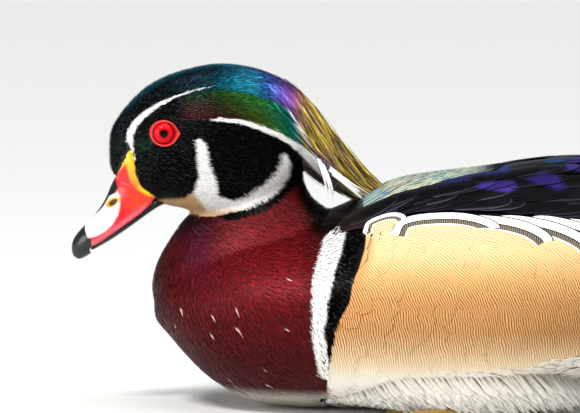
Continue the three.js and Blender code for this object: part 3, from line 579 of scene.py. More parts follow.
# Feathers laid over a guide surface between [x, angle] places: flight feathers, coverts, scapulars and plumes
def guide_vanes(
    guide, roots, tips, seed, width, lift, grid, sink, rise, roll, arch, tilt,
    outline=round_tip, bow=0.01, vary=0.08, climb=4, upper=0, dip=0,
):
    random = np.random.default_rng(seed)
    stations, across = grid
    count = len(roots)
    t, side = np.sin(np.linspace(0, math.pi / 2, stations)), np.linspace(-1, 1, across)
    bent = random.normal(0, bow, (count, 1))
    x = mix(roots[:, 0:1], tips[:, 0:1], t)
    angle = mix(roots[:, 1:2], tips[:, 1:2], t) + bent * 4 * t * (1 - t)
    here = guide.place(x, angle)
    dx, turn = ((tips - roots) * 0.02).T[..., None]
    ahead = unit(guide.place(x + dx, angle + turn) - guide.place(x - dx, angle - turn))
    aside = unit(np.cross(ahead, unit(guide.onto(here, 1) - here)))
    length = np.linalg.norm(np.diff(here, axis=1), axis=-1).sum(1)
    half = (width * random.uniform(1 - vary, 1 + vary, count))[:, None] * outline(t) / 2
    level = mix(-sink, lift + rise * (t - 0.5), np.minimum(1, t * climb))
    level = level + random.uniform(-0.15, 0.15, (count, 1))
    height = level[:, :, None] + roll * side * outline(t)[:, None]
    height = height + arch * half[:, :, None] * (1 - side**2)
    height = height - dip * smooth(-upper * side) ** 0.7
    flat = spread_out(here, aside, half, side)
    points = guide.onto(flat, 0)
    up = unit(guide.onto(flat, 1) - points)
    facing = up + aside[:, :, None] * (side * tilt)[:, None]
    run = t[:, None] * length[:, None, None]
    edge = rounded_edge(half, side, run, length, (upper,) if upper else (-1, 1))
    more = {"edge": edge, "run": run, "chance": random.random((count, 1, 1))}
    more = {key: np.broadcast_to(values, edge.shape).reshape(-1) for key, values in more.items()}
    return as_coat(points + up * height[..., None], facing, here[:, 0], t, side, **more)


# Distance from each point of a vane to its own outline, or to the part of it on one side of the shaft.
def rounded_edge(half, side, run, length, signs):
    x = np.broadcast_to(run, (*half.shape, len(side)))
    y = half[:, :, None] * side
    rim_x = np.concatenate([run[:, :, 0], length[:, None] + 0.01], 1)
    rim_y = np.concatenate([half, 0 * length[:, None]], 1)
    a = np.stack([rim_x[:, :-1], rim_y[:, :-1]], -1)[:, None, None]
    b = np.stack([rim_x[:, 1:], rim_y[:, 1:]], -1)[:, None, None]
    span = b - a
    apart = []
    for sign in signs:
        place = np.stack([x, y * sign], -1)[:, :, :, None]
        share = np.clip(((place - a) * span).sum(-1) / np.maximum((span**2).sum(-1), TINY), 0, 1)
        apart.append(np.linalg.norm(place - (a + span * share[..., None]), axis=-1).min(-1))
    return np.minimum.reduce(apart)


def merged(coats):
    made = dict(coats[0])
    starts = np.cumsum([0] + [len(coat["points"]) for coat in coats])
    made["triangles"] = np.vstack([coat["triangles"] + start for coat, start in zip(coats, starts)])
    for key in ("points", "normals", "roots", "edge", "chance", "run"):
        made[key] = np.concatenate([coat[key] for coat in coats])
    return made


# Places spread evenly along a line of [x, angle in degrees] marks.
def spread(count, line, jitter, random):
    marks = np.array(line, float)
    share = np.linspace(0, len(marks) - 1, count)
    places = np.stack([np.interp(share, np.arange(len(marks)), marks[:, k]) for k in (0, 1)], -1)
    places[:, 0] += random.uniform(-jitter, jitter, count)
    places[:, 1] = np.radians(places[:, 1] + random.uniform(-jitter, jitter, count) * 0.4)
    return places


# Markings in the side view: masks of bands along a line and of closed outlines
def segment_distance(x, w, a, b):
    span = b - a
    share = ((x - a[0]) * span[0] + (w - a[1]) * span[1]) / max(span @ span, TINY)
    share = np.clip(share, 0, 1)
    return np.hypot(x - a[0] - share * span[0], w - a[1] - share * span[1]), share


def band(x, w, line, soft=0.4):
    best = np.full(x.shape, -1e9)
    for (ax, aw, ah), (bx, bw, bh) in zip(line[:-1], line[1:]):
        apart, share = segment_distance(x, w, np.array([ax, aw]), np.array([bx, bw]))
        best = np.maximum(best, mix(ah, bh, share) - apart)
    return smooth(best / soft + 0.5)


def within(x, w, outline, soft=0.5):
    closed = np.array([*outline, outline[0]], float)
    inside = np.zeros(x.shape, bool)
    nearest = np.full(x.shape, 1e9)
    for a, b in zip(closed[:-1], closed[1:]):
        nearest = np.minimum(nearest, segment_distance(x, w, a, b)[0])
        crosses = (a[1] > w) != (b[1] > w)
        inside ^= crosses & (x < a[0] + (w - a[1]) * (b[0] - a[0]) / (b[1] - a[1] if b[1] != a[1] else TINY))
    return smooth(np.where(inside, nearest, -nearest) / soft + 0.5)


def spot(x, w, centre, size):
    return np.exp(-(((x - centre[0]) / size[0]) ** 2) - ((w - centre[1]) / size[1]) ** 2)


# A colour, or the colours of points, under layers that are each a mask and its colour.
def painted(base, *layers):
    tint = as_light(base)
    for mask, colour in layers:
        tint = mix(tint, as_light(colour), mask[:, None])
    return tint


def as_light(colour):
    return rgb(*colour) if isinstance(colour, tuple) else colour


def ramp(value, stops):
    places = [place for place, _ in stops]
    colours = np.array([rgb(*colour) for _, colour in stops])
    return np.stack([np.interp(value, places, colours[:, k]) for k in range(3)], -1)


# Head markings, [x, w] with half widths where they are bands
BROW_LINE = [
    [-118.6, 114, 0.25], [-119.8, 119, 0.5], [-120.8, 122.4, 1.45], [-120.6, 125.6, 1.6],
    [-118.2, 130.4, 1.5], [-114.2, 134.2, 1.3], [-109.3, 137.9, 1], [-103.5, 141, 0.6],
    [-97.7, 143.5, 0.34], [-89.2, 146.1, 0.16], [-81, 148, -0.1],
]
CREST_LINE = [
    [-82.4, 131.9, 0.3], [-79, 132, 0.8], [-71.6, 131.4, 0.95], [-65.1, 130, 1.1], [-52.1, 125.1, 1.25],
    [-46.8, 121.9, 1.4], [-41.5, 118.3, 1.7], [-35.7, 112.8, 2.2], [-29, 106.2, 2.4], [-22, 100.4, 2.6],
    [-13, 94.8, 1.9], [-6, 93.6, 1.2],
]
NAPE_STREAK = [[-46.5, 135.6, 0.2], [-42.4, 129.3, 0.8], [-38.9, 123, 1.1], [-35.5, 113, 1.9]]
CHEEK = [
    [-108.4, 95], [-101.4, 95.2], [-95.3, 95.6], [-91, 98.6], [-88.6, 105.3], [-89.4, 113],
    [-90.2, 122.4], [-88, 123.2], [-85.2, 120.6], [-83.4, 111.3], [-80.7, 103.6], [-79.6, 96.4],
    [-72.1, 94.4], [-65.3, 96.9], [-59.2, 101.4], [-54, 105.8], [-51.2, 110.5], [-49.8, 115.8],
    [-48, 116.2], [-45.8, 111.5], [-46.8, 105.6], [-50.6, 100.2], [-57, 95], [-67, 90.8], [-76.4, 88.6],
    [-84.2, 86], [-100, 86], [-110, 90],
]
# Colours along the crown's middle and its lower part, and along the band below it. The bright teal on the
# crown is partly its own iridescent colour and partly a painted highlight.
CROWN_TOP = [
    [-128, (3, 10, 14)], [-112, (3, 12, 17)], [-98, (2, 6, 12)], [-84, (3, 10, 17)], [-76, (6, 30, 44)],
    [-64, (30, 98, 132)], [-55, (50, 68, 146)], [-47, (98, 58, 126)], [-41, (124, 52, 86)],
    [-36, (112, 78, 40)], [-10, (110, 94, 40)],
]
CROWN_SIDE = [
    [-128, (3, 8, 10)], [-108, (3, 13, 17)], [-92, (3, 18, 25)], [-82, (4, 38, 48)],
    [-74, (14, 100, 120)], [-66, (36, 142, 160)], [-58, (34, 96, 154)], [-50, (80, 68, 148)],
    [-44, (126, 68, 124)], [-38, (128, 76, 60)], [-32, (118, 96, 44)], [-10, (110, 94, 40)],
]
BAND_TOP = [
    [-100, (4, 14, 10)], [-84, (8, 30, 14)], [-72, (34, 88, 28)], [-60, (42, 114, 48)],
    [-50, (14, 122, 92)], [-43, (20, 88, 140)], [-34, (30, 60, 140)],
]
BAND_LOW = [
    [-101, (10, 8, 8)], [-92, (42, 14, 16)], [-78, (54, 22, 22)], [-68, (62, 50, 22)],
    [-58, (70, 104, 30)], [-48, (20, 114, 60)], [-38, (8, 108, 96)], [-34, (10, 84, 110)],
]
CHEEK_WHITE = (250, 248, 244)
CHIN_WHITE = (204, 164, 116)
FACE_BLACK = (5, 6, 6)


CROWN_EDGE = [
    [-131, 112], [-121, 119.5], [-118, 129], [-111, 136.5], [-97.7, 143.2], [-80, 146.2], [-68, 144.8],
    [-56, 141.4], [-49, 137.6], [-44, 133], [-38, 124], [-33, 116], [-22, 106], [-4, 99],
]


# Colour of the head at places in the side view, its gloss, and where it is white.
def head_tint(x, w):
    rim = along_line(CROWN_EDGE, x)
    line = along_line([mark[:2] for mark in CREST_LINE], x)
    above = smooth((w - rim) / 1.6 + 0.5)
    between = smooth((w - line) / 1 + 0.5) * (1 - above) * smooth((x + 101) / 5)
    high = smooth((w - rim) / 14)[:, None]
    level = smooth((w - line) / np.maximum(rim - line, 3))[:, None]
    chin = smooth((w - 88 - smooth((-84 - x) / 8) * 8) / 4)
    bands = [band(x, w, marks) for marks in (BROW_LINE, CREST_LINE, NAPE_STREAK)]
    light = np.maximum.reduce([*bands, within(x, w, CHEEK)])
    tint = painted(
        FACE_BLACK,
        # Painted green sheen in front of the eye.
        (spot(x, w, (-114, 121), (5, 4)) * 0.6, (14, 46, 32)),
        (between, mix(ramp(x, BAND_LOW), ramp(x, BAND_TOP), level)),
        # The crown's colours, with a painted highlight where the teal is brightest.
        (above, mix(ramp(x, CROWN_SIDE), ramp(x, CROWN_TOP), high)),
        (light, painted(CHIN_WHITE, (chin, CHEEK_WHITE))),
    )
    return tint, 0.85 * (1 - light), light


# Neck and breast markings
WHITE_BAR = [
    [-19.6, 85.4], [-27.9, 80.4], [-31.2, 77], [-33.6, 67.7], [-35.8, 60.9], [-36.6, 45.3], [-36.2, 30],
    [-33, 14], [-27, 10], [-31, 33.5], [-28.8, 49.7], [-25.8, 62.6], [-22.6, 71.2],
]
BLACK_BAR = [
    [-19.8, 86], [-22.6, 71.2], [-25.8, 62.6], [-28.8, 49.7], [-31, 33.5], [-27, 10], [8, 12], [10, 94],
    [-18, 96],
]
NAPE_BROWN = [
    [-45, 104], [-42, 95], [-39.5, 88], [-35, 79], [-28, 78], [-19, 84], [14, 86], [14, 108],
    [-30, 112],
]
# Rear edge of the black bar: [w, x]
BAR_EDGE = [
    [0, -30], [20, -28], [33, -26], [40.2, -23.3], [47.9, -18.6], [56.5, -17.4], [64.3, -14.2],
    [71.6, -12], [76.3, -11.2], [90, -11],
]
FLANK_COLOURS = [
    [10, (244, 238, 226)], [22, (240, 218, 176)], [34, (204, 148, 58)], [46, (210, 148, 50)],
    [58, (230, 180, 94)], [70, (246, 212, 152)], [86, (248, 224, 178)],
]


CHESTNUT = (84, 9, 15)
BAR_BLACK = (4, 4, 5)
FEATHER_WHITE = (252, 250, 246)
FLECKED_SHARE = 0.012
# Soft tones on the breast: middle and reach in the side view, strength and colour. The first is a painted
# purple sheen and the last a painted shadow under the chin.
BREAST_TONES_SHEEN_AND_SHADE = [
    [(-89, 72), (7, 13), 0.7, (74, 14, 44)], [(-54, 66), (22, 20), 0.8, (116, 10, 16)],
    [(-95, 87), (16, 10), 1, (16, 5, 14)],
]


def breast_tint(x, w, z, chance):
    nape, bar, white = within(x, w, NAPE_BROWN, 6), within(x, w, BLACK_BAR, 0.6), within(x, w, WHITE_BAR, 0.7)
    belly = smooth((12 - z) / 8) * smooth((x + 95) / 30)
    flecked = (chance < FLECKED_SHARE * smooth((62 - w) / 30)) & (x < -44)
    tint = painted(
        CHESTNUT,
        # Breast tones, with a painted purple sheen and a painted shadow under the chin.
        *[(spot(x, w, middle, reach) * strength, colour) for middle, reach, strength, colour in BREAST_TONES_SHEEN_AND_SHADE],
        # Painted shade: the front of the breast darker where it turns from the light.
        (smooth((-96 - x) / 14) * 0.6, (30, 7, 12)),
        (smooth((48 - w) / 30) * 0.5, (56, 8, 12)),
        (nape, (28, 14, 9)),
        (bar, BAR_BLACK),
        (flecked, (196, 168, 150)),
        (white, FEATHER_WHITE),
        (belly, (238, 232, 220)),
    )
    light = np.maximum.reduce([white, belly, flecked])
    return tint, mix(0.3, 0.85, np.maximum(nape, bar)) * (1 - light), light


def flank_tint(x, w, z):
    inward = x - along_line(BAR_EDGE, w)
    golden = smooth(1 - inward / 7) * smooth((w - 30) / 14) * smooth((84 - w) / 12)
    low = smooth((z - 12) / 14)
    tint = painted((240, 236, 228), (low, ramp(w, FLANK_COLOURS)), (golden * 0.75, (220, 144, 40)))
    return painted(BAR_BLACK, (smooth(inward + 0.5), tint))


# Blue and violet patches on the wing and scapulars, in the side view
WING_PATCHES = [
    [[[19, 102.4], [26, 105], [37, 107], [37, 104], [24, 102]], (30, 32, 99)],
    [[[39, 107], [46, 109.6], [55, 111.6], [55, 108], [45, 106.4]], (22, 41, 112)],
    [
        [[38.5, 100.8], [42, 102.8], [51, 103.8], [57, 103.7], [58, 99.6], [53, 98.6], [42, 99.8]],
        (61, 41, 129),
    ],
    [[[62, 104.6], [70, 108.4], [78, 106], [80, 100], [76, 99.4], [68, 102]], (38, 26, 99)],
    [[[72, 112.8], [80, 114.2], [80.4, 112.2], [73, 111.6]], (16, 79, 139)],
    [[[81, 113.4], [90, 116], [96, 113], [96, 108], [81, 108.6]], (57, 41, 119)],
    [[[96, 106], [104, 108], [118, 104], [124, 98], [106, 100]], (40, 40, 112)],
    [[[102, 90], [112, 96], [134, 92], [146, 86], [126, 84]], (26, 50, 119)],
]
WING_BLACK = (8, 7, 10)


def wing_tint(x, w, inner=1):
    masks = [within(x, w, outline, 1.6) * inner for outline, _ in WING_PATCHES]
    tint = painted(WING_BLACK, *zip(masks, [colour for _, colour in WING_PATCHES]))
    return tint, mix(0.85, 0.5, np.maximum.reduce(masks))


# Lines between the zones in the side view: over the row of plumes, under the head, and over the belly
PLUME_TOP = [
    [-30, 72], [-14, 84], [-8, 87.5], [0, 89], [10, 90], [20, 92], [45, 91.5], [60, 90], [75, 89],
    [90, 86], [105, 83], [125, 78], [140, 76],
]
HEAD_LINE = [
    [-140, 80], [-112, 91], [-91, 90], [-76, 88], [-58, 94], [-48, 103], [-40, 110], [-24, 102],
]
BELLY_LINE = [[-40, 16], [40, 20], [84, 26], [110, 38], [126, 54], [134, 90]]


def zones(places):
    x, y, z = places.T
    out = np.abs(y)
    _, w = side_view(places)
    head = (x < -24) & (z > along_line(HEAD_LINE, x))
    seam = along_line(BAR_EDGE, w)
    plumes = along_line(PLUME_TOP, x) - mix(6, 10, smooth((x + 2) / 14)) - 8 * smooth((x - 85) / 20)
    above_wing = np.where(x < 130, w > plumes, z > along_line(WING_EDGE, x))
    high = smooth((w - 35) / 25)
    breast = ~head & (x < seam - mix(0.5, 4, high))
    behind = ~head & ~breast
    back = behind & above_wing & (out < along_line(WING_INNER, x)) & (x < 52)
    wing = behind & above_wing & ~back
    flank = ~head & (x > seam - mix(6, 9, high)) & ~above_wing & (z > along_line(BELLY_LINE, x))
    flank = flank & (out > 24) & (x < 130)
    vent = behind & ~above_wing & ~flank & (x > 110)
    belly = behind & ~above_wing & ~flank & ~vent
    return dict(head=head, breast=breast, back=back, wing=wing, flank=flank, vent=vent, belly=belly)


# Materials
def material(name, roughness, colour=None):
    made = bpy.data.materials.new(name)
    made.use_nodes = True
    tree, shader = made.node_tree, made.node_tree.nodes["Principled BSDF"]
    put(tree, shader, {"Roughness": roughness, "Base Color": None if colour is None else rgb(*colour)})
    return made, tree, shader


# Each input of a node gets a number, a colour or another node's output.
def put(tree, made, inputs):
    for key, value in inputs.items():
        socket = made.inputs[key]
        if isinstance(value, bpy.types.NodeSocket):
            tree.links.new(value, socket)
        elif value is not None:
            socket.default_value = (*value, 1) if socket.type == "RGBA" else value


def node(tree, kind, inputs=(), **settings):
    made = tree.nodes.new(kind)
    for key, value in settings.items():
        setattr(made, key, value)
    put(tree, made, dict(inputs))
    return made


def attribute(tree, name, output="Fac"):
    return node(tree, "ShaderNodeAttribute", attribute_name=name).outputs[output]


def position(tree):
    return node(tree, "ShaderNodeNewGeometry").outputs["Position"]


def noise(tree, scale):
    return node(tree, "ShaderNodeTexNoise", {"Vector": position(tree), "Scale": scale}).outputs["Fac"]


def relief(tree, height, strength, distance, invert=False):
    inputs = {"Height": height, "Strength": strength, "Distance": distance}
    return node(tree, "ShaderNodeBump", inputs, invert=invert).outputs["Normal"]


def share_between(tree, value, low, high, kind="LINEAR"):
    inputs = {"Value": value, "From Min": low, "From Max": high}
    return node(tree, "ShaderNodeMapRange", inputs, interpolation_type=kind).outputs["Result"]


def sums(tree, operation, *values):
    return node(tree, "ShaderNodeMath", enumerate(values), operation=operation).outputs[0]


def mixed(tree, factor, first, second, blend="MIX"):
    inputs = {0: factor, 6: first, 7: second}
    return node(tree, "ShaderNodeMix", inputs, data_type="RGBA", blend_type=blend).outputs[2]


# Plumage: colour and gloss come with the feathers, with a fine mottling of its own.
def plumage(name, roughness=0.55, shine=0.3, mottling=900):
    made, tree, shader = material(name, roughness)
    shade = sums(tree, "MULTIPLY_ADD", noise(tree, mottling), 0.5, 0.75)
    grey = node(tree, "ShaderNodeCombineColor", dict.fromkeys(range(3), shade)).outputs["Color"]
    gloss = attribute(tree, "gloss")
    put(tree, shader, {
        "Specular IOR Level": 0.12,
        "Base Color": mixed(tree, 1.0, attribute(tree, "tint", "Color"), grey, "MULTIPLY"),
        "Metallic": gloss,
        "Roughness": sums(tree, "MULTIPLY_ADD", gloss, -shine, roughness),
    })
    return made


# Fine wavy lines over the flank and bars on the plumes: how far apart they lie and how much the lines waver,
# and the slope of the lines in degrees down to the rear, from each height on
VERMICULE = 1.12
WAVER = 2.5
BARS = 1.0
BARS_WAVER = 0.6
LINE_SLOPES = [(0, 80), (50, 66), (66, 42), (80, 18)]
TURN_RAGGED = 24
TURN_HALF = 3


def waves(tree, along, apart, waver):
    moved = sums(tree, "MULTIPLY_ADD", noise(tree, 150), waver, along)
    return sums(tree, "SINE", sums(tree, "MULTIPLY", moved, 2 * math.pi / apart))


# Waves over the whole flank, turning from one slope to the next up the side, with ragged changes
def flank_lines(tree):
    up = node(tree, "ShaderNodeSeparateXYZ", {"Vector": position(tree)}).outputs["Z"]
    height = sums(tree, "MULTIPLY_ADD", noise(tree, 60), TURN_RAGGED, sums(tree, "MULTIPLY", up, 1 / MM))
    shown = None
    for start, degrees in LINE_SLOPES:
        slope, turn = math.radians(degrees), start + TURN_RAGGED / 2
        inputs = {0: position(tree), 1: (math.sin(slope) / MM, 0, math.cos(slope) / MM)}
        along = node(tree, "ShaderNodeVectorMath", inputs, operation="DOT_PRODUCT").outputs["Value"]
        lines = waves(tree, along, VERMICULE, WAVER)
        if shown is None:
            shown = lines
            continue
        share = share_between(tree, height, turn - TURN_HALF, turn + TURN_HALF, "SMOOTHSTEP")
        change = sums(tree, "MULTIPLY", sums(tree, "SUBTRACT", lines, shown), share)
        shown = sums(tree, "ADD", shown, change)
    return sums(tree, "MULTIPLY_ADD", shown, 0.5, 0.5)


# Bands inwards from a plume's upper edge: dark rim, broad white, black line, barred grey, thin white line
PLUME_BANDS = [
    (0, (10, 9, 9)), (0.5, (253, 252, 250)), (4.5, (14, 12, 12)), (5.0, (150, 136, 116)),
    (7.4, (253, 251, 246)),
]
BANDS_END = 8.1
BAND_SCALE = 12


def plume_bands(tree, edge):
    bands = node(tree, "ShaderNodeValToRGB", {"Fac": sums(tree, "DIVIDE", edge, BAND_SCALE)})
    bands.color_ramp.interpolation = "CONSTANT"
    elements = bands.color_ramp.elements
    for place, _ in PLUME_BANDS[2:]:
        elements.new(place / BAND_SCALE)
    for element, (place, colour) in zip(elements, PLUME_BANDS):
        element.position = place / BAND_SCALE
        element.color = (*rgb(*colour), 1)
    bars = sums(tree, "MULTIPLY_ADD", waves(tree, attribute(tree, "run"), BARS, BARS_WAVER), 0.5, 0.5)
    after = sums(tree, "GREATER_THAN", edge, PLUME_BANDS[3][0])
    before = sums(tree, "LESS_THAN", edge, PLUME_BANDS[4][0])
    barred = sums(tree, "MULTIPLY", sums(tree, "MULTIPLY", after, before), bars)
    return mixed(tree, barred, bands.outputs["Color"], rgb(24, 20, 18))


# The flank: its lines, the bands of its plumes, and black in front of a ragged seam.
def flank_material():
    made, tree, shader = material("vermiculated_flank", 0.6)
    strength, edge, seam = (attribute(tree, name) for name in ("gloss", "edge", "seam"))
    tint = attribute(tree, "tint", "Color")
    lines = flank_lines(tree)
    pale = mixed(tree, sums(tree, "MULTIPLY", strength, 0.22), tint, rgb(255, 246, 216))
    dark = mixed(tree, 1.0, tint, rgb(176, 122, 54), "MULTIPLY")
    base = mixed(tree, sums(tree, "MULTIPLY", lines, strength), pale, dark)
    flank = mixed(tree, sums(tree, "LESS_THAN", edge, BANDS_END), base, plume_bands(tree, edge))
    ragged = sums(tree, "MULTIPLY_ADD", waves(tree, seam, 400, 140), 0.5, seam)
    put(tree, shader, {
        "Specular IOR Level": 0.08,
        "Base Color": mixed(tree, share_between(tree, ragged, -0.3, 0.3), rgb(*BAR_BLACK), flank),
        "Normal": relief(tree, lines, 0.35, 0.0002, invert=True),
    })
    return made


# Coats over the skin. The unwrap of each goes from one x to another, round an axis at a height.
HEAD_BOX = (-135, -20, 114)
BREAST_BOX = (-112, -8, 45)
BODY_BOX = (-40, 190, 50)
CREST_BOX = (-65, 5, 112)
TAIL_BOX = (140, 240, 70)
BRIGHTEST = 0.95


def head_length(roots):
    return np.clip(2 + 0.026 * (roots[:, 0] + 130), 2, 4.6)


def breast_length(roots):
    return mix(6.5, 3.6, smooth((roots[:, 0] + 46) / 8))


def flank_length(roots):
    x, w = side_view(roots)
    return np.clip((along_line(PLUME_TOP, x) - 3 - w) * 1.4, 5, 19)


# Small feathers of each zone: how far apart they grow, and their measures
COATS = {
    "head": dict(spacing=0.6, length=head_length, width=0.62, lift=0.75, stray=0.06, tilt=0.4),
    "breast": dict(spacing=1.05, length=breast_length, width=1.35, lift=0.85, stray=0.06, tilt=0.2),
    "flank": dict(
        spacing=3.9, length=flank_length, width=12, lift=0.95, stations=8, across=7,
        stray=0.06, tilt=0.04, arch=0.01, droop=0.2, climb=0.9,
    ),
    "belly": dict(spacing=2.2, length=10, width=3.4, lift=1.1, stray=0.15),
    "vent": dict(spacing=2.0, length=12, width=3.6, lift=1.2, stray=0.15),
    "back": dict(spacing=1.5, length=14, width=2.4, lift=1.6, stray=0.05, stations=4),
    "wing": dict(spacing=2.6, length=14, width=6, lift=0.1, stations=4),
}


# The small feathers of a zone, or of its half on one side. Those of the head keep off the bill and the eye.
def zone_coat(skin, areas, zone, seed, side=0):
    look = dict(COATS[zone])
    inside = areas[zone] & (skin.middles[:, 1] * side >= -0.5)
    roots, normals = skin.scatter(inside, look.pop("spacing"), seed)
    if zone == "head":
        clear = off_face(roots, 1)
        roots, normals = roots[clear], normals[clear]
    return small_feathers(skin, roots, normals, seed, **look)


def off_face(points, share):
    return (within(*side_view(points), BILL_FIELD, 0.1) < 0.5) & (eye_share(points) > share)


def head_coat(skin, areas, side, seed):
    coat = zone_coat(skin, areas, "head", seed, side)
    coat = chosen(coat, off_face(coat["seen"], 1.02))
    tint, gloss, light = head_tint(*colour_places(coat, 0.2, seed))
    x, y, z = coat["points"].T
    # Painted highlight: a bright cyan rim along the top of the crown, where light catches it at a grazing
    # angle.
    crown_rim_highlight = smooth(1 - np.abs(y) / 6) * smooth((x + 126) / 8) * smooth((-62 - x) / 10) * smooth((z - 120) / 8)
    tint = painted(tint, (crown_rim_highlight * 0.8, (24, 150, 176)))
    tint = tint * (shades(coat, seed, 0.38) ** (1 - light))[:, None]
    return feather_object(sided("head_coat", side), coat, tint, gloss, HEAD_BOX)


# Brightness that varies from feather to feather, for each feather or for all its points
def streaks(count, seed, strength):
    random = np.random.default_rng(seed + 50)
    return np.exp(random.normal(0, 1, count) * strength)


def shades(coat, seed, strength):
    return np.repeat(streaks(len(coat["roots"]), seed, strength), coat["each"])


def streaked(tint, seed, strength):
    return tint * streaks(len(tint), seed, strength)[:, None]


def chosen(coat, keep):
    rows = np.repeat(keep, coat["each"])
    made = {**coat, **{key: coat[key][rows] for key in ("points", "normals", "run")}}
    made.update(roots=coat["roots"][keep], seen=coat["seen"][keep])
    made["triangles"] = coat["triangles"][: keep.sum() * (len(coat["triangles"]) // len(keep))]
    return made


def breast_length(roots):
    return mix(6.5, 3.6, smooth((roots[:, 0] + 46) / 8))


def breast_coat(skin, areas, side, seed):
    coat = zone_coat(skin, areas, "breast", seed, side)
    x, w = side_view(coat["seen"])
    coat = chosen(coat, (w > 84) | (x < along_line(BAR_EDGE, w) + 0.3))
    x, w = colour_places(coat, 0.25, seed)
    chance = np.repeat(np.random.default_rng(seed).random(len(coat["roots"])), coat["each"])
    tint, gloss, light = breast_tint(x, w, coat["points"][:, 2], chance)
    tint = tint * (shades(coat, seed, 0.2) ** (1 - light))[:, None]
    return feather_object(sided("breast_coat", side), coat, np.minimum(tint, BRIGHTEST), gloss, BREAST_BOX)


def flank_length(roots):
    x, w = side_view(roots)
    return np.clip((along_line(PLUME_TOP, x) - 3 - w) * 1.4, 5, 19)


def flank_coat(skin, areas, side, seed):
    coat = zone_coat(skin, areas, "flank", seed, side)
    x, w = side_view(coat["points"])
    z, seam = coat["points"][:, 2], along_line(BAR_EDGE, w)
    tint = flank_tint(np.maximum(x, seam + 1), w, z) * shades(coat, seed, 0.02)[:, None]
    tint = np.minimum(tint, BRIGHTEST)
    strength = smooth((z - 14) / 22) * mix(1.0, 0.6, smooth((w - 48) / 24)) * smooth(x - seam + 2)
    extra = {"edge": np.full(len(x), 99.0), "run": coat["run"], "seam": x - seam}
    return feather_object(sided("flank_coat", side), coat, tint, strength, BODY_BOX, extra)


APRON_SPACING = 1.4


# Soft feathers that hang from the low side of the body over the folded legs
def apron_coat(skin, side, seed):
    random = np.random.default_rng(seed)
    x, y, z = skin.middles.T
    top = 7 + 13 * smooth((x + 32) / 40) * smooth((124 - x) / 60)
    inside = (x > -32) & (x < 112) & (z > 5) & (z < top) & (y * side > 34)
    roots, under = skin.scatter(inside, APRON_SPACING, seed)
    count = len(roots)
    t, across = np.linspace(0, 1, 5), np.linspace(-1, 1, 3)
    ends = smooth((roots[:, 0] + 30) / 40) * smooth((112 - roots[:, 0]) / 40)
    out = np.abs(roots[:, 1])
    drop = np.minimum(roots[:, 2] - 0.5, random.uniform(8, 12, count)) * mix(0.2, 1, ends)
    reach = np.minimum(52 + 0.42 * (roots[:, 2] - drop), out + 7) - out
    fall = np.stack([0.9 * drop + random.normal(0, 1, count), side * reach * ends, -drop], -1)
    line = roots[:, None] + fall[:, None] * t[:, None] + under[:, None] * (t * (1 - t) * 3)[:, None]
    points = spread_out(line, np.array([0.8, 0, 0.6]), round_tip(t), across)
    points = points + np.array([0, side, 0]) * (0.3 * (1 - across**2))[:, None]
    below = np.array([0, side * 0.75, -0.35])
    facing = mix(under[:, None], below, t[:, None])[:, :, None] + np.array([0.25, 0, 0.15]) * across[:, None]
    coat = as_coat(points, facing, roots, t, across, turned=side < 0)
    x, w = side_view(coat["points"])
    tint = flank_tint(x, w, coat["points"][:, 2] + 3) * shades(coat, seed, 0.05)[:, None]
    return feather_object(sided("apron_coat", side), coat, np.minimum(tint, BRIGHTEST), 0 * x, BODY_BOX)


def belly_coat(skin, areas, seed):
    coat = zone_coat(skin, areas, "belly", seed)
    dark = smooth((coat["seen"][:, 0] - 100) / 20)
    tint = painted((238, 233, 222), (dark, (30, 24, 22)))
    return feather_object("belly_coat", coat, streaked(tint, seed, 0.04), dark * 0.1, BODY_BOX)


def vent_coat(skin, areas, seed):
    coat = zone_coat(skin, areas, "vent", seed)
    x, y, z = coat["seen"].T
    maroon = spot(x, z, (132, 72), (22, 12)) * smooth(np.abs(y) / 14)
    dark = smooth((x - 104) / 16)
    tint = painted((236, 230, 216), (dark, (26, 22, 22)), (maroon, (92, 18, 48)))
    return feather_object("vent_coat", coat, streaked(tint, seed, 0.12), dark * 0.3, BODY_BOX)


# The mantle: greenish, blue and pale feathers that are partly the mantle's own iridescent colour and partly a
# painted sheen, brown in front and dark behind
def back_coat(skin, areas, seed):
    coat = zone_coat(skin, areas, "back", seed)
    x = coat["seen"][:, 0]
    pick = np.random.default_rng(seed).random(len(x))[:, None]
    # Pale colours that are partly a painted sheen on the mantle.
    green, blue, straw = rgb(168, 196, 172), rgb(112, 156, 196), rgb(206, 202, 172)
    pale = np.where(pick < 0.4, green, np.where(pick < 0.6, blue, straw))
    tint = painted(pale, (smooth((-25 - x) / 8), (30, 20, 14)), (smooth((x - 38) / 14), (8, 20, 34)))
    tint = np.minimum(streaked(tint, seed, 0.12), BRIGHTEST)
    return feather_object("back_coat", coat, tint, np.full(len(x), 0.4), BODY_BOX)


def wing_fill(skin, areas, seed):
    coat = zone_coat(skin, areas, "wing", seed)
    tint, gloss = wing_tint(*side_view(coat["seen"]))
    return feather_object("wing_fill", coat, streaked(tint, seed, 0.15), gloss, BODY_BOX)


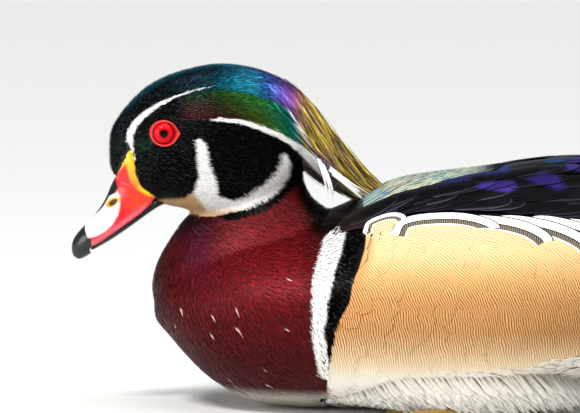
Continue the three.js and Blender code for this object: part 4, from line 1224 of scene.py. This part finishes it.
# Wing tiers from below, primaries, secondaries, coverts, tertials and scapulars: how many vanes,
# marks [x, degrees] along which their roots and their tips are spread, width and lift
WING_TIERS = [
    [7, [[99, 62], [99, 40]], [[170, 54], [184, 22]], 9, -1.2],
    [9, [[62, 62], [88, 40]], [[124, 64], [152, 42]], 11, -1.0],
    [13, [[-26, 33], [-8, 31], [20, 34], [60, 44]], [[4, 32], [30, 35], [62, 42], [104, 50]], 14, -1.0],
    [5, [[64, 36], [86, 8]], [[132, 38], [160, 9]], 16, -0.5],
    [12, [[-30, 32], [-5, 29], [30, 31], [58, 37]], [[2, 30], [36, 31], [70, 35], [100, 42]], 15, -0.7],
    [11, [[-28, 29], [0, 26], [60, 28]], [[4, 27], [50, 26], [106, 31]], 15, -0.4],
    [8, [[8, 25], [40, 20], [66, 19]], [[44, 18], [74, 18], [110, 21]], 15, -0.1],
    [6, [[44, 12], [74, 7]], [[78, 9], [112, 8]], 14, 0.1],
]
WING_LOOK = dict(roll=-0.3, sink=2.6, rise=1.4, arch=0.04, tilt=0.12, grid=(18, 9))
WING_SEED = 70
# The broad flank plumes, in the side view: [x, w] of root and tip of each shaft
PLUMES = [
    [[-13, 81], [7, 85.5]], [[0, 80.5], [50, 81.5]], [[19, 82.5], [74, 76]], [[43, 83.5], [96, 70.5]],
    [[60, 84], [112, 69]], [[75, 83], [126, 67.5]], [[90, 79.5], [138, 65]], [[105, 75], [148, 63]],
]
PLUME_HEIGHTS = [5.5, 9, 9.4, 9.4, 9.2, 9, 9, 8.5]
PLUME_LIFTS = [1.5, 1.4, 1.2, 1.1, 1, 1, 1, 1]
PLUME_LOOK = dict(
    rise=0.9, sink=0.5, arch=0.02, grid=(44, 27), tilt=0.05, outline=lens,
    dip=4.2, roll=0.4, bow=0, climb=12, vary=0,
)
PLUME_SEED = 90


def wing_coat(guide, side):
    random = np.random.default_rng(WING_SEED)
    look = {**WING_LOOK, "roll": WING_LOOK["roll"] * side}
    coats = []
    for number, (count, start, end, width, lift) in enumerate(WING_TIERS):
        roots = spread(count, start, 1.2, random) * [1, side]
        tips = spread(count, end, 1.8, random) * [1, side]
        coats.append(guide_vanes(guide, roots, tips, WING_SEED + number, width, lift, **look))
    coat = merged(coats)
    x, w = side_view(coat["points"])
    chance, edge = coat["chance"], coat["edge"]
    tint, gloss = wing_tint(x, w, smooth(edge / 0.9))
    # Painted sheen: lighter grey-blue rims on some vanes.
    rim = smooth(1 - edge / 0.5)
    tint = painted(tint, (rim * chance**2 * 0.7, (72, 76, 90)), (smooth((-4 - x) / 18) * 0.85, (36, 23, 16)))
    tint = tint * np.exp((chance - 0.5) * 0.8)[:, None]
    return feather_object(sided("wing_coat", side), coat, tint, gloss, BODY_BOX)


def plume_coat(guide, side):
    places = np.array([[[x, guide.angle_at(x, w)] for x, w in shaft] for shaft in PLUMES]) * [1, side]
    look = {**PLUME_LOOK, "roll": PLUME_LOOK["roll"] * side, "upper": side}
    heights, lifts = np.array(PLUME_HEIGHTS), np.array(PLUME_LIFTS)[:, None]
    coat = guide_vanes(guide, places[:, 0], places[:, 1], PLUME_SEED, 2 * heights, lifts, **look)
    x, w = side_view(coat["points"])
    scale = np.repeat(max(PLUME_HEIGHTS) / heights, coat["each"])
    extra = {"edge": coat["edge"] * scale, "run": coat["run"], "seam": np.full(len(x), 9.0)}
    tint = flank_tint(x, w, coat["points"][:, 2])
    return feather_object(sided("plume_coat", side), coat, tint, np.full(len(x), 0.6), BODY_BOX, extra)


# Crest strands: how many on each side, and their measures
CREST_STRANDS = 4900
CREST_LOOK = dict(
    grid=(7, 3), width=0.6, lift=0.2, rise=0.6, sink=2.6, climb=3, roll=0,
    arch=0.3, tilt=0.5, bow=0.05, outline=sharp_tip,
)
# Loose white strands under the crest, in the side view
LOOSE_STRANDS = [
    [[-33.5, 114], [-31.8, 109], [-30.2, 103], [-28.9, 96.2]],
    [[-31.5, 110.5], [-29, 104.5], [-27.2, 98.5], [-26.5, 91]],
    [[-30.5, 109], [-28.4, 104.6], [-26.6, 101], [-25.6, 98]],
    [[-26.5, 107], [-22, 103.6], [-16.4, 98.8], [-10.6, 93.6]],
    [[-24.5, 106.4], [-18.4, 102], [-11.6, 98], [-4.8, 95.2]],
    [[-28, 109], [-23.4, 105.6], [-18, 101.6], [-12.6, 97.4]],
]
STRAND_HALF = 0.42


def crest_coat(guide, side, seed):
    random = np.random.default_rng(seed)
    count = CREST_STRANDS
    angle = side * random.uniform(-0.05, math.pi, count)
    root = random.uniform(-64, -9, count)
    tip = np.minimum(root + random.uniform(8, 20, count), 1)
    turn = random.normal(0.03, 0.06, count) * side
    roots = np.stack([root, angle], -1)
    tips = np.stack([tip, mix(angle, side * 2.2, 0.34) + turn], -1)
    coat = guide_vanes(guide, roots, tips, seed, **CREST_LOOK)
    heights = np.repeat(random.normal(-0.3, 0.7, count), coat["each"])
    upward = np.repeat(unit(coat["normals"])[1::3], 3, axis=0)
    coat["points"] = coat["points"] + upward * heights[:, None]
    return feather_object(sided("crest_coat", side), coat, *crest_tint(coat, random), CREST_BOX)


# Violet at the root, then gold, olive and black strands, each mottled along its length.
def crest_tint(coat, random):
    x, w = side_view(coat["points"])
    count, each = len(coat["roots"]), coat["each"]
    stations, across = CREST_LOOK["grid"]
    pick = np.repeat(random.random(count), each)
    dashes = np.repeat(random.normal(0, 0.45, (count, stations)), across, axis=1)
    shade = np.exp(dashes.reshape(-1)) * np.repeat(np.exp(random.normal(0, 0.3, count)), each)
    golden = painted((222, 176, 62), (np.repeat(random.random(count), each), (146, 136, 58)))
    tint, gloss, _ = head_tint(x, w)
    rear = smooth((x + 46) / 10)
    low = smooth((120 - w) / 10) * smooth((-20 - x) / 10)
    white = band(x, w, CREST_LINE, 0.8) * smooth((-29 - x) / 5)
    tint = painted(
        tint * 0.95,
        (rear * 0.85, golden),
        ((pick > 0.56) * smooth((x + 48) / 10) * 0.9, (14, 11, 7)),
        ((pick < 0.07 + 0.5 * low) * rear * 0.7, (58, 44, 128)),
    )
    tint = painted(tint * shade[:, None], (white, FEATHER_WHITE))
    return np.minimum(tint, BRIGHTEST), mix(gloss * 0.7, 0.05, rear) * (1 - white)


# Tapered strands along paths [x, w], set out from the middle by a distance, a few round each path.
def loose_strands(side, seed):
    random = np.random.default_rng(seed)
    t, across = np.linspace(0, 1, 10), np.array([-1, 0, 1])
    out = np.array([0.0, side, 0.0])
    points, normals, roots = [], [], []
    for path in LOOSE_STRANDS:
        curve = np.polyfit(np.linspace(0, 1, len(path)), np.array(path, float), 3)
        for _ in range(5 if path[-1][0] < -20 else 10):
            shift = random.normal(0, 0.55, 2) * np.array([1, 0.9])
            powers = (t * random.uniform(0.8, 1.05))[:, None] ** np.arange(3, -1, -1)
            x, w = (powers @ curve + shift).T
            y = side * mix(11.4, 4.6, smooth((x + 34) / 30)) + random.normal(0, 0.4)
            line = np.column_stack([x, y, (w + VIEW_OUT * np.abs(y)) / VIEW_UP])
            aside = unit(np.cross(unit(np.gradient(line, axis=0)), out))
            flat = spread_out(line, aside, STRAND_HALF * sharp_tip(t), across)
            points.append(flat + out * (0.3 * (1 - across**2))[:, None])
            normals.append(out + aside[:, None] * (0.5 * across)[:, None])
            roots.append(line[0])
    coat = as_coat(np.array(points), np.array(normals), np.array(roots), t, across)
    white = np.broadcast_to(rgb(*FEATHER_WHITE), coat["points"].shape)
    return feather_object(sided("crest_strands", side), coat, white, 0 * white[:, 0], CREST_BOX)


# Tail: long feathers in a low arch with coverts above and below. Each fan has its colour, the root of its
# middle feather, and how much each pair is shorter, turned, apart and a step lower than the one before.
TAIL_FANS = {
    "tail_feathers": [
        (22, 58, 56),
        dict(
            pairs=6, root=(157, 78.6), rise=9.5, length=80, width=16,
            shorter=3, turn=2.5, apart=1.6, step=1.1,
        ),
    ],
    "tail_coverts_upper": [
        (44, 70, 60),
        dict(pairs=3, root=(150, 82), rise=9, length=46, width=13, shorter=3, turn=5, apart=3.4, step=1.1),
    ],
    "tail_coverts_under": [
        (30, 22, 20),
        dict(pairs=3, root=(150, 62), rise=17, length=48, width=13, shorter=4, turn=5, apart=3.4, step=-1.2),
    ],
}


def flat_vanes(pairs, root, rise, length, width, shorter, turn, apart, step, grid=(18, 9)):
    t, side = np.sin(np.linspace(0, math.pi / 2, grid[0])), np.linspace(-1, 1, grid[1])
    half = round_tip(t) * width / 2
    arch = (0.5 * (1 - side**2) * (half / half.max())[:, None])[..., None]
    level, climb = math.cos(math.radians(rise)), math.sin(math.radians(rise))
    points, normals, roots = [], [], []
    for i in range(-pairs, pairs + 1):
        turned = math.radians(turn) * i
        start = np.array([root[0], apart * i, root[1] - abs(i) * step])
        way = np.array([math.cos(turned) * level, math.sin(turned) * level, climb])
        aside = np.array([-math.sin(turned), math.cos(turned), 0])
        up = np.cross(way, aside)
        flat = spread_out(start + way * (t * (length - abs(i) * shorter))[:, None], aside, half, side)
        points.append(flat + up * arch)
        normals.append(up + aside * (side * 0.3)[:, None] + 0 * flat)
        roots.append(start)
    return as_coat(np.array(points), np.array(normals), np.array(roots), t, side, turned=True)


def tail_coat():
    made = []
    for name, (colour, fan_look) in TAIL_FANS.items():
        coat = flat_vanes(**fan_look)
        count = len(coat["roots"])
        off = np.abs(coat["patch"][:, 1] - 0.5)
        rim, shaft = smooth((off - 0.4) / 0.1), smooth(1 - off / 0.07)
        tint = painted(colour, (np.tile(rim, count) * 0.7, (64, 76, 74)))
        tint = tint * (shades(coat, 60, 0.25) * np.tile(1 - 0.4 * shaft, count))[:, None]
        made.append(feather_object(name, coat, tint, np.full(len(tint), 0.55), TAIL_BOX))
    return made


# Bill
GAPE = (-108.4, 94)
BILL_DROOP = math.radians(34)
UPPER_BILL = [
    [-12, 10, 10, 10, 0], [-8, 21, 8, -1, 7, 1.8, 2.4], [-2, 22.5, 6, -2, 9, 1.75, 2.6],
    [4, 22.4, 4, -2, 9.5, 1.7, 2.6], [8, 21.4, 3.2, -2, 9.5, 1.7, 2.6],
    [12.3, 19.2, 2.6, -2, 9.1, 1.7, 2.6], [18.8, 15, 2, -1.9, 8.5, 1.8, 2.6],
    [23.8, 12.7, 1.8, -1.7, 8.2, 1.9, 2.6], [28.4, 11.2, 1.8, -1.6, 8, 2, 2.6],
    [34.3, 10, 2, -1.8, 7.4, 2.1, 2.5], [39, 8.8, 2.2, -2.4, 6, 2.1, 2.3], [42.5, 7.1, 2, -2.2, 4.3],
    [45, 4.4, 1.4, -1.4, 2.2], [46.2, 1.3, 1.3, 1.3, 0],
]
LOWER_BILL = [
    [-8, 0.6, 0.6, 0.6, 0], [-4, 4, 0.4, -2.4, 6.4], [1.5, 4, 0, -1.9, 8.1, 2, 2.2],
    [8, 4, -0.2, -2, 8.1, 2, 2.2], [16, 3.5, -0.4, -2.3, 7.8, 2, 2.2], [26, 3, -0.6, -2.4, 7.1, 2, 2.2],
    [33, 2, -0.7, -2, 5.6], [36.6, 0, -0.8, -1.6, 2.8], [37.8, -0.9, -0.9, -0.9, 0],
]
MOUTH_LINE = [
    [-12, 3.4], [0.5, 2.4], [3, 1.2], [7.6, 0.5], [13, 0.2], [25, -0.2], [31, -0.3], [36, 0.3],
    [38.4, -0.4],
]
# The bill's edge against the feathers, and all in front of it, in the side view
BILL_FIELD = [
    [-107.9, 94.9], [-111.6, 97.4], [-116.3, 102], [-119.1, 108.6], [-119.5, 114.2], [-121.4, 120.5],
    [-124.7, 113.5], [-128.2, 105.6], [-131, 101.4], [-160, 101], [-160, 40], [-100, 40], [-105, 88],
    [-106.6, 92.6],
]
NOSTRIL = {"along": 16.6, "up": 12, "length": 5, "height": 2.4, "depth": 1.6}
PLATE_MIDDLE = [-100, 0, 113]
PLATE_SUNK = 3
PLATE_END = (-99, 128)


# Places on the bill, [along, out, up] from the corner of the mouth, and places on the bird
def from_bill(points):
    along, y, up = points.T
    c, s = math.cos(BILL_DROOP), math.sin(BILL_DROOP)
    return np.column_stack([GAPE[0] - along * c - up * s, y, GAPE[1] - along * s + up * c])


def to_bill(points):
    x, y, z = points.T
    c, s = math.cos(BILL_DROOP), math.sin(BILL_DROOP)
    dx, dz = GAPE[0] - x, z - GAPE[1]
    return np.column_stack([dx * c - dz * s, y, dx * s + dz * c])


# The upper bill with the plate that runs up the face, which is drawn in under the skin where it doesn't show.
def upper_bill():
    points, triangles = hull(UPPER_BILL, 160, 96)
    line = along_line(MOUTH_LINE, points[:, 0])
    points[:, 2] = np.where(points[:, 0] < 38.4, np.maximum(points[:, 2], line), points[:, 2])
    world = from_bill(points)
    plate, plate_triangles = hull(grown(HEAD, 0.25), 200, 140)
    local = to_bill(plate)
    shows = within(plate[:, 0], plate[:, 2], BILL_FIELD, 0.1) > 0.5
    shows &= local[:, 2] > along_line(MOUTH_LINE, local[:, 0])
    plate = plate - np.where(shows, 0.0, 1.0)[:, None] * (unit(plate - PLATE_MIDDLE) * PLATE_SUNK)
    plate[:, 0] = np.minimum(plate[:, 0], PLATE_END[0])
    plate[:, 2] = np.minimum(plate[:, 2], PLATE_END[1])
    forms = [(world, facing_out(world, triangles)), (plate, plate_triangles)]
    return remeshed(joined(forms), BILL_VOXEL, 3)


BILL_YELLOW = [
    [-121.5, 125], [-133, 105], [-128.8, 105.2], [-125.6, 108.2], [-122.7, 111.2], [-121.4, 106.5],
    [-120.2, 102.8], [-117.4, 99.8], [-112.4, 96.8], [-108, 96], [-112, 104], [-116, 125],
]
BILL_WHITE = [
    [-127.2, 99.1], [-125.8, 96.7], [-125.6, 92.6], [-126.6, 87.9], [-129.3, 83.3], [-132.6, 80.2],
    [-136.3, 78.3], [-140.5, 77.2], [-146, 80], [-146, 92], [-131, 102],
]
BILL_RIDGE = [
    [-129.3, 106.4], [-127.6, 104.2], [-126.4, 100.9], [-127.3, 98.2], [-130.4, 96.6], [-133, 92.1],
    [-135.3, 89.5], [-138.2, 87], [-142, 96], [-134, 108],
]
BILL_NAIL = [
    [-142.1, 86], [-141.6, 80.9], [-140.5, 77.4], [-139, 77], [-138.4, 73], [-138, 66], [-152, 66],
    [-152, 92],
]


def bill_colours(points, local):
    x, w = side_view(points)
    along, _, up = local.T
    pink = smooth((4.6 - up) / 3.4) * smooth((along - 3) / 8)
    amber = spot(x, w, (-124, 108), (3.4, 4)) + spot(x, w, (-119, 101), (2.4, 4))
    # Painted highlight along the raised lip at the lower edge.
    lip_highlight = smooth((1.7 - np.abs(up - along_line(MOUTH_LINE, along) - 1.1)) / 0.8) * smooth((along - 2) / 4)
    return painted(
        (222, 14, 24),
        (spot(x, w, (-116, 95), (7, 7)) * 0.8, (232, 62, 26)),
        (pink * 0.8, (222, 50, 84)),
        # Painted highlight: paler pink along the raised lip.
        (lip_highlight * 0.35, (246, 130, 140)),
        (within(x, w, BILL_YELLOW, 1.4), painted((240, 190, 4), (np.clip(amber, 0, 1), (232, 118, 4)))),
        (within(x, w, BILL_WHITE, 1.8), (248, 244, 240)),
        (within(x, w, BILL_RIDGE, 0.9), (8, 7, 7)),
        (np.clip(nostril_share(local, 1.75) * 1.5, 0, 1), (226, 150, 10)),
        # Inside the nostril's yellow rim: darkening to black, painted shade of the opening.
        (nostril_share(local, 1.1), (60, 14, 6)),
        (nostril_share(local, 0.7), (8, 3, 3)),
        (within(x, w, BILL_NAIL, 0.6), (10, 9, 9)),
    )


def nostril_share(local, size):
    along, _, up = local.T
    a = (along - NOSTRIL["along"]) / (NOSTRIL["length"] / 2 * size)
    b = (up - NOSTRIL["up"]) / (NOSTRIL["height"] / 2 * size)
    return smooth((1 - np.hypot(a, b)) * 3)


def bill():
    points, triangles = upper_bill()
    local = to_bill(points)
    sunk = nostril_share(local, 1) * (np.abs(local[:, 1]) > 2)
    points = points - vertex_normals(points, triangles) * (sunk * NOSTRIL["depth"])[:, None]
    upper = mesh_object("bill_upper_shell", points, triangles, {"tint": bill_colours(points, local)})
    under, under_triangles = hull(LOWER_BILL, 120, 72)
    under[:, 2] = np.minimum(under[:, 2], along_line(MOUTH_LINE, under[:, 0]) - 0.3)
    under = from_bill(under)
    return upper, mesh_object("bill_lower_shell", under, facing_out(under, under_triangles))


# Eyes and lids
EYE_AT = (-104.9, 11.9, 127.6)
EYE_RADIUS = 6.3
PUPIL = 1.85
IRIS = 5.5
LID = dict(long=6.7, high=6.1, opening=5.1, corner=0.9, thick=0.8, crease=0.12)
IRIS_COLOURS = [[1.9, (120, 2, 8)], [2.3, (200, 8, 22)], [3.6, (226, 22, 40)], [4.4, (170, 8, 20)]]
LID_COLOURS = [
    [0, (16, 3, 3)], [0.12, (40, 4, 4)], [0.24, (214, 20, 22)], [0.6, (236, 60, 48)],
    [1, (200, 26, 22)],
]


# How far places in the side view lie from the eye's middle, where 1 is the lids' outer edge.
def eye_share(points):
    return np.hypot((points[:, 0] - EYE_AT[0]) / LID["long"], (points[:, 2] - EYE_AT[2]) / LID["high"])


def eyeball(side, rings=71, around=64):
    tilt = np.linspace(0, math.pi, rings + 2)[1:-1, None]
    turn = np.linspace(0, 2 * math.pi, around, endpoint=False)
    ball = np.stack([np.sin(tilt) * np.cos(turn), np.cos(tilt) + 0 * turn, np.sin(tilt) * np.sin(turn)], -1)
    ball = np.vstack([ball.reshape(-1, 3), [[0, 1, 0], [0, -1, 0]]]) * EYE_RADIUS
    radius = np.where(ball[:, 1] < 0, 9, np.hypot(ball[:, 0], ball[:, 2]))
    pupil, rim = smooth((PUPIL - radius) / 0.16 + 0.5), smooth((radius - IRIS) / 0.25 + 0.5)
    tint = painted(ramp(radius, IRIS_COLOURS), (pupil, (2, 1, 2)), (rim, (14, 3, 3)))
    ball = (ball + np.array(EYE_AT)) * [1, side, 1]
    triangles = facing_out(ball, ring_triangles(rings, around))
    return mesh_object(sided("eye_ball", side), ball, triangles, {"tint": tint})


# Half width of the head's form at places in the side view
def head_side(x, z):
    _, top, middle, bottom, half, n_top, n_bottom = np.moveaxis(Guide(HEAD).rows_at(x), -1, 0)
    upper = z >= middle
    reach, n = np.where(upper, top - middle, middle - bottom), np.where(upper, n_top, n_bottom)
    level = np.minimum(1, np.abs(z - middle) / reach)
    return half * (1 - level**n) ** (1 / n)


# Fleshy ring of the lids: an inner fold against the eye and a broader outer one, pointed behind.
def lid_ring(side, around=96, across=20):
    turn = np.linspace(0, 2 * math.pi, around, endpoint=False)[:, None]
    fold = np.linspace(0, 2 * math.pi, across, endpoint=False)[None, :]
    share = (1 + np.cos(fold)) / 2
    behind = np.minimum(turn, 2 * math.pi - turn)
    corner = 1 + LID["corner"] / LID["long"] * np.exp(-((behind / 0.28) ** 2))
    dx = np.cos(turn) * mix(LID["opening"], LID["long"] * corner, share)
    dz = np.sin(turn) * mix(LID["opening"], LID["high"], share)
    x, z = EYE_AT[0] + dx, EYE_AT[2] + dz
    ball = EYE_AT[1] + np.sqrt(np.maximum(EYE_RADIUS**2 - np.minimum(np.hypot(dx, dz), 6) ** 2, 0))
    base = mix(ball, head_side(x, z) + 0.2, smooth(share))
    creases = LID["crease"] * np.cos(share * 2 * math.pi * 2.5)
    y = base + np.sin(fold) * LID["thick"] + creases * (np.sin(fold) > 0)
    points = np.stack([x, y * side, z], -1).reshape(-1, 3)
    a = np.arange(around * across).reshape(around, across)
    b = np.roll(a, -1, axis=0)
    triangles = quads(a, b, np.roll(b, -1, axis=1), np.roll(a, -1, axis=1))
    tint = ramp(share.repeat(around, 0).ravel(), LID_COLOURS)
    tint = tint * (0.86 + 0.14 * np.sin(26 * turn + 4 * share)).reshape(-1, 1)
    return points, facing_out(points, triangles), tint


# Legs and webbed feet, folded under the belly: toe joint, ankle, and toes with their radii
TOE_JOINT = (46, 44, 3)
ANKLE = (79, 40, 4.2)
SHANK = (70, 41, 19)
TOES = [[(14, 33), 1.9], [(0, 45), 2.1], [(7, 58), 1.9]]
FOOT_VOXEL = 0.55
WEB_THICK = 1.2


# A rounded rod along marks, with a radius at each mark.
def rod(marks, radii, steps=28, around=20):
    share = np.linspace(0, 1, steps)
    at = np.linspace(0, 1, len(marks))
    line = np.stack([np.interp(share, at, column) for column in np.array(marks, float).T], -1)
    radius = np.interp(share, at, radii) * np.sqrt(np.maximum(1 - (2 * share - 1) ** 12, 0.02))
    way = unit(np.gradient(line, axis=0))
    aside = unit(np.cross(way, [0.13, 0.9, 0.4]))
    over = np.cross(aside, way)
    turn = np.linspace(0, 2 * math.pi, around, endpoint=False)[None, :, None]
    ring = aside[:, None] * np.cos(turn) + over[:, None] * np.sin(turn)
    points = (line[:, None] + ring * radius[:, None, None]).reshape(-1, 3)
    a = np.arange(steps * around).reshape(steps, around)[:-1]
    b = np.roll(a, -1, axis=1)
    inner = np.arange(1, around - 1)
    end = (steps - 1) * around
    caps = [fan(0, inner + 1, inner), fan(end, inner + end, inner + 1 + end)]
    return points, facing_out(points, np.vstack([quads(a, b, b + around, a + around), *caps]))


# The web between two toes, its free edge curved in.
def web(first, second, along=16, across=13):
    joint = np.array([TOE_JOINT[0] - 2, TOE_JOINT[1]])
    u = np.linspace(0, 1, across)[None, :, None]
    v = np.linspace(0.02, 1, along)[:, None, None] * (1 - 0.24 * np.sin(math.pi * u))
    flat = mix(joint, mix(np.array(first, float), np.array(second, float), u), v)
    points = np.concatenate([flat, 1.5 + 0.3 * np.sin(u * math.pi * 5) * v], -1).reshape(-1, 3)
    keep = len(points)
    grid = np.arange(keep).reshape(along, across)
    top = quads(grid[:-1, :-1], grid[:-1, 1:], grid[1:, 1:], grid[1:, :-1])
    rim = np.concatenate([grid[0], grid[1:, -1], grid[-1, -2::-1], grid[-2:0:-1, 0]])
    ahead = np.roll(rim, -1)
    walls = quads(rim, rim + keep, ahead + keep, ahead)
    points = np.vstack([points, points - [0, 0, WEB_THICK]])
    return points, facing_out(points, np.vstack([top, top[:, ::-1] + keep, walls]))


def foot(side):
    x, y, _ = TOE_JOINT
    forms = [
        rod([SHANK, ANKLE], [5.2, 3.6]),
        rod([ANKLE, (66, 42, 3.4), (52, 44, 3.2), (x - 3, y, 2.8)], [3.6, 2.7, 2.8, 3.0]),
        web(TOES[0][0], TOES[1][0]),
        web(TOES[1][0], TOES[2][0]),
    ]
    for tip, radius in TOES:
        middle = (mix(x, tip[0], 0.5), mix(y, tip[1], 0.5), 2.0)
        forms.append(rod([(x + 1, y, 2.6), middle, (*tip, 1.5)], [radius + 0.5, radius * 0.9, radius * 0.65]))
        claw = [(*tip, 1.7), (tip[0] - 3, tip[1], 1.5), (tip[0] - 5.5, tip[1], 0.6)]
        forms.append(rod(claw, [1.1, 0.9, 0.3]))
    points, triangles = remeshed(joined(forms), FOOT_VOXEL, 3)
    points[:, 2] = np.maximum(points[:, 2], 0)
    along, out = points[:, 0], points[:, 1]
    near = [segment_distance(along, out, *np.array([[x, y], tip], float))[0] for tip, _ in TOES]
    past_tips = [along - tip[0] + 100 * (abs(out - tip[1]) > 2.5) for tip, _ in TOES]
    webbed = smooth((np.minimum.reduce(near) - 1.6) / 1.6) * smooth((x - along) / 4)
    claws = smooth((np.minimum.reduce(past_tips) + 1) / -1.5)
    tint = painted((150, 118, 52), (webbed, (44, 38, 30)), (claws, (24, 20, 18)))
    points = points * [1, side, 1]
    return mesh_object(sided("foot_shell", side), points, facing_out(points, triangles), {"tint": tint})


# Legs and feet: small scales in relief
def scaled(name):
    made, tree, shader = material(name, 0.5)
    inputs = {"Scale": 700, "Vector": position(tree)}
    cells = node(tree, "ShaderNodeTexVoronoi", inputs, feature="DISTANCE_TO_EDGE").outputs["Distance"]
    put(tree, shader, {"Base Color": attribute(tree, "tint", "Color")})
    put(tree, shader, {"Normal": relief(tree, cells, 0.6, 0.0006)})
    return made


# Skin object with the coat's own markings, and the lids in it
def skin_object(skin):
    x, w = side_view(skin.points)
    z = skin.points[:, 2]
    colours = {
        "head": head_tint(x, w)[0],
        "breast": breast_tint(x, w, z, np.ones(len(x)))[0],
        "flank": flank_tint(x, w, z),
        "wing": WING_BLACK,
        "back": (90, 100, 96),
        "vent": (30, 24, 24),
    }
    places = zones(skin.points)
    tint = np.zeros_like(skin.points) + rgb(232, 226, 212)
    for zone, colour in colours.items():
        tint = np.where(places[zone][:, None], as_light(colour), tint)
    rings = [lid_ring(-1), lid_ring(1)]
    points, triangles = joined([(skin.points, skin.triangles), *[ring[:2] for ring in rings]])
    tint = np.vstack([tint * 0.7, *[ring[2] for ring in rings]])
    return mesh_object("skin", points, triangles, {"tint": tint, "gloss": np.zeros(len(points))})


# One colour, or the mesh's own tint, under a clear coat.
def coloured(name, roughness, coat=0.0, colour=None, specular=0.4):
    made, tree, shader = material(name, roughness, colour)
    if colour is None:
        put(tree, shader, {"Base Color": attribute(tree, "tint", "Color")})
    put(tree, shader, {"Coat Weight": coat, "Specular IOR Level": specular, "Coat Roughness": 0.04})
    return made


def dress(piece, look, slot, *nodes):
    piece.data.materials.append(look)
    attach(piece, "root")
    if nodes:
        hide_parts(*nodes)


SKY_COLOUR = (0.92, 0.96, 1)
SKY_STRENGTH = 0.32
LIT_PLACE = Vector((-0.02, 0, 0.08))
AREA_LIGHTS = [["top", (0.3, -0.3, 1.5), 1.2, 10], ["fill", (-1.7, -0.9, 0.35), 0.9, 16]]


# Stage, light and camera
def studio():
    bpy.ops.mesh.primitive_plane_add(size=40, location=(0, 0, -0.0005))
    floor = bpy.context.object
    floor.name = "floor"
    floor.data.materials.append(material("pale_floor", 0.9, (232, 231, 228))[0])
    world = bpy.data.worlds.new("studio")
    world.use_nodes = True
    put(world.node_tree, world.node_tree.nodes["Background"], {"Color": SKY_COLOUR, "Strength": SKY_STRENGTH})
    bpy.context.scene.world = world
    sun = bpy.data.lights.new("sun", "SUN")
    sun.energy = 3.0
    sun.angle = math.radians(16)
    placed("sun", sun, Vector((0, 0, 0)), -Vector((-0.45, -0.75, 1.1)))
    for name, place, size, power_watts in AREA_LIGHTS:
        lamp = bpy.data.lights.new(name, "AREA")
        lamp.size = size
        lamp.energy = power_watts
        placed(name, lamp, Vector(place), LIT_PLACE - Vector(place))


# A light or camera at a place, looking one way.
def placed(name, data, place, way):
    made = bpy.data.objects.new(name, data)
    made.location = place
    made.rotation_euler = way.to_track_quat("-Z", "Y").to_euler()
    bpy.context.scene.collection.objects.link(made)
    return made


def camera():
    data = bpy.data.cameras.new("camera")
    data.sensor_width = SENSOR
    data.lens = SENSOR * CAMERA_DISTANCE / (PHOTO_WIDTH / PIXELS_PER_MM)
    data.clip_end = 100
    aim_x = (PHOTO_WIDTH / 2 - ORIGIN_PIXEL[0]) / PIXELS_PER_MM
    aim_up = (ORIGIN_PIXEL[1] - PHOTO_HEIGHT / 2) / PIXELS_PER_MM
    aim = Vector((aim_x, 0, aim_up / math.cos(CAMERA_RISE))) * MM
    back = Vector((0, -math.cos(CAMERA_RISE), math.sin(CAMERA_RISE)))
    bpy.context.scene.camera = placed("camera", data, aim + back * CAMERA_DISTANCE * MM, -back)


# Build
skin = Skin()
areas = zones(skin.middles)
coat_guide = Guide(COAT)
crest_guide = Guide(CREST)
feathers = plumage("plumage")
vermiculated = flank_material()

FLESH = ["breast", "torso", "flank_left", "flank_right", "head", "neck", "wing_left", "wing_right"]
dress(skin_object(skin), coloured("skin", 0.6), "belly_plumage", *FLESH)
for side in (-1, 1):
    seed = 11 + side
    dress(head_coat(skin, areas, side, seed), feathers, "head_plumage")
    dress(breast_coat(skin, areas, side, seed + 2), feathers, "chestnut_plumage")
    dress(flank_coat(skin, areas, side, seed + 4), vermiculated, "flank_plumage")
    dress(apron_coat(skin, side, seed + 6), feathers, "belly_plumage")
    dress(wing_coat(coat_guide, side), feathers, "wing_plumage")
    dress(plume_coat(coat_guide, side), vermiculated, "flank_plumage")
    dress(crest_coat(crest_guide, side, 41 + side), feathers, "head_plumage", "crest")
    dress(loose_strands(side, 50), feathers, "head_plumage", "crest")
    dress(eyeball(side), coloured(sided("eye", side), 0.1, specular=0.12), "eye", sided("eye", side))
dress(belly_coat(skin, areas, 31), feathers, "belly_plumage")
dress(vent_coat(skin, areas, 33), feathers, "tail_plumage")
dress(back_coat(skin, areas, 35), feathers, "wing_plumage")
dress(wing_fill(skin, areas, 37), feathers, "wing_plumage")
for piece in tail_coat():
    dress(piece, feathers, "tail_plumage", "tail")
upper, lower = bill()
dress(upper, coloured("bill_horn", 0.35, 0.3), "bill", "bill_upper")
dress(lower, coloured("bill_black", 0.35, 0.3, (16, 15, 16)), "bill_under", "bill_lower")
scales = scaled("leg_scales")
for side in (-1, 1):
    dress(foot(side), scales, "foot", sided("leg", side), sided("foot", side))

studio()
camera()
bpy.context.scene.view_settings.view_transform = "Standard"
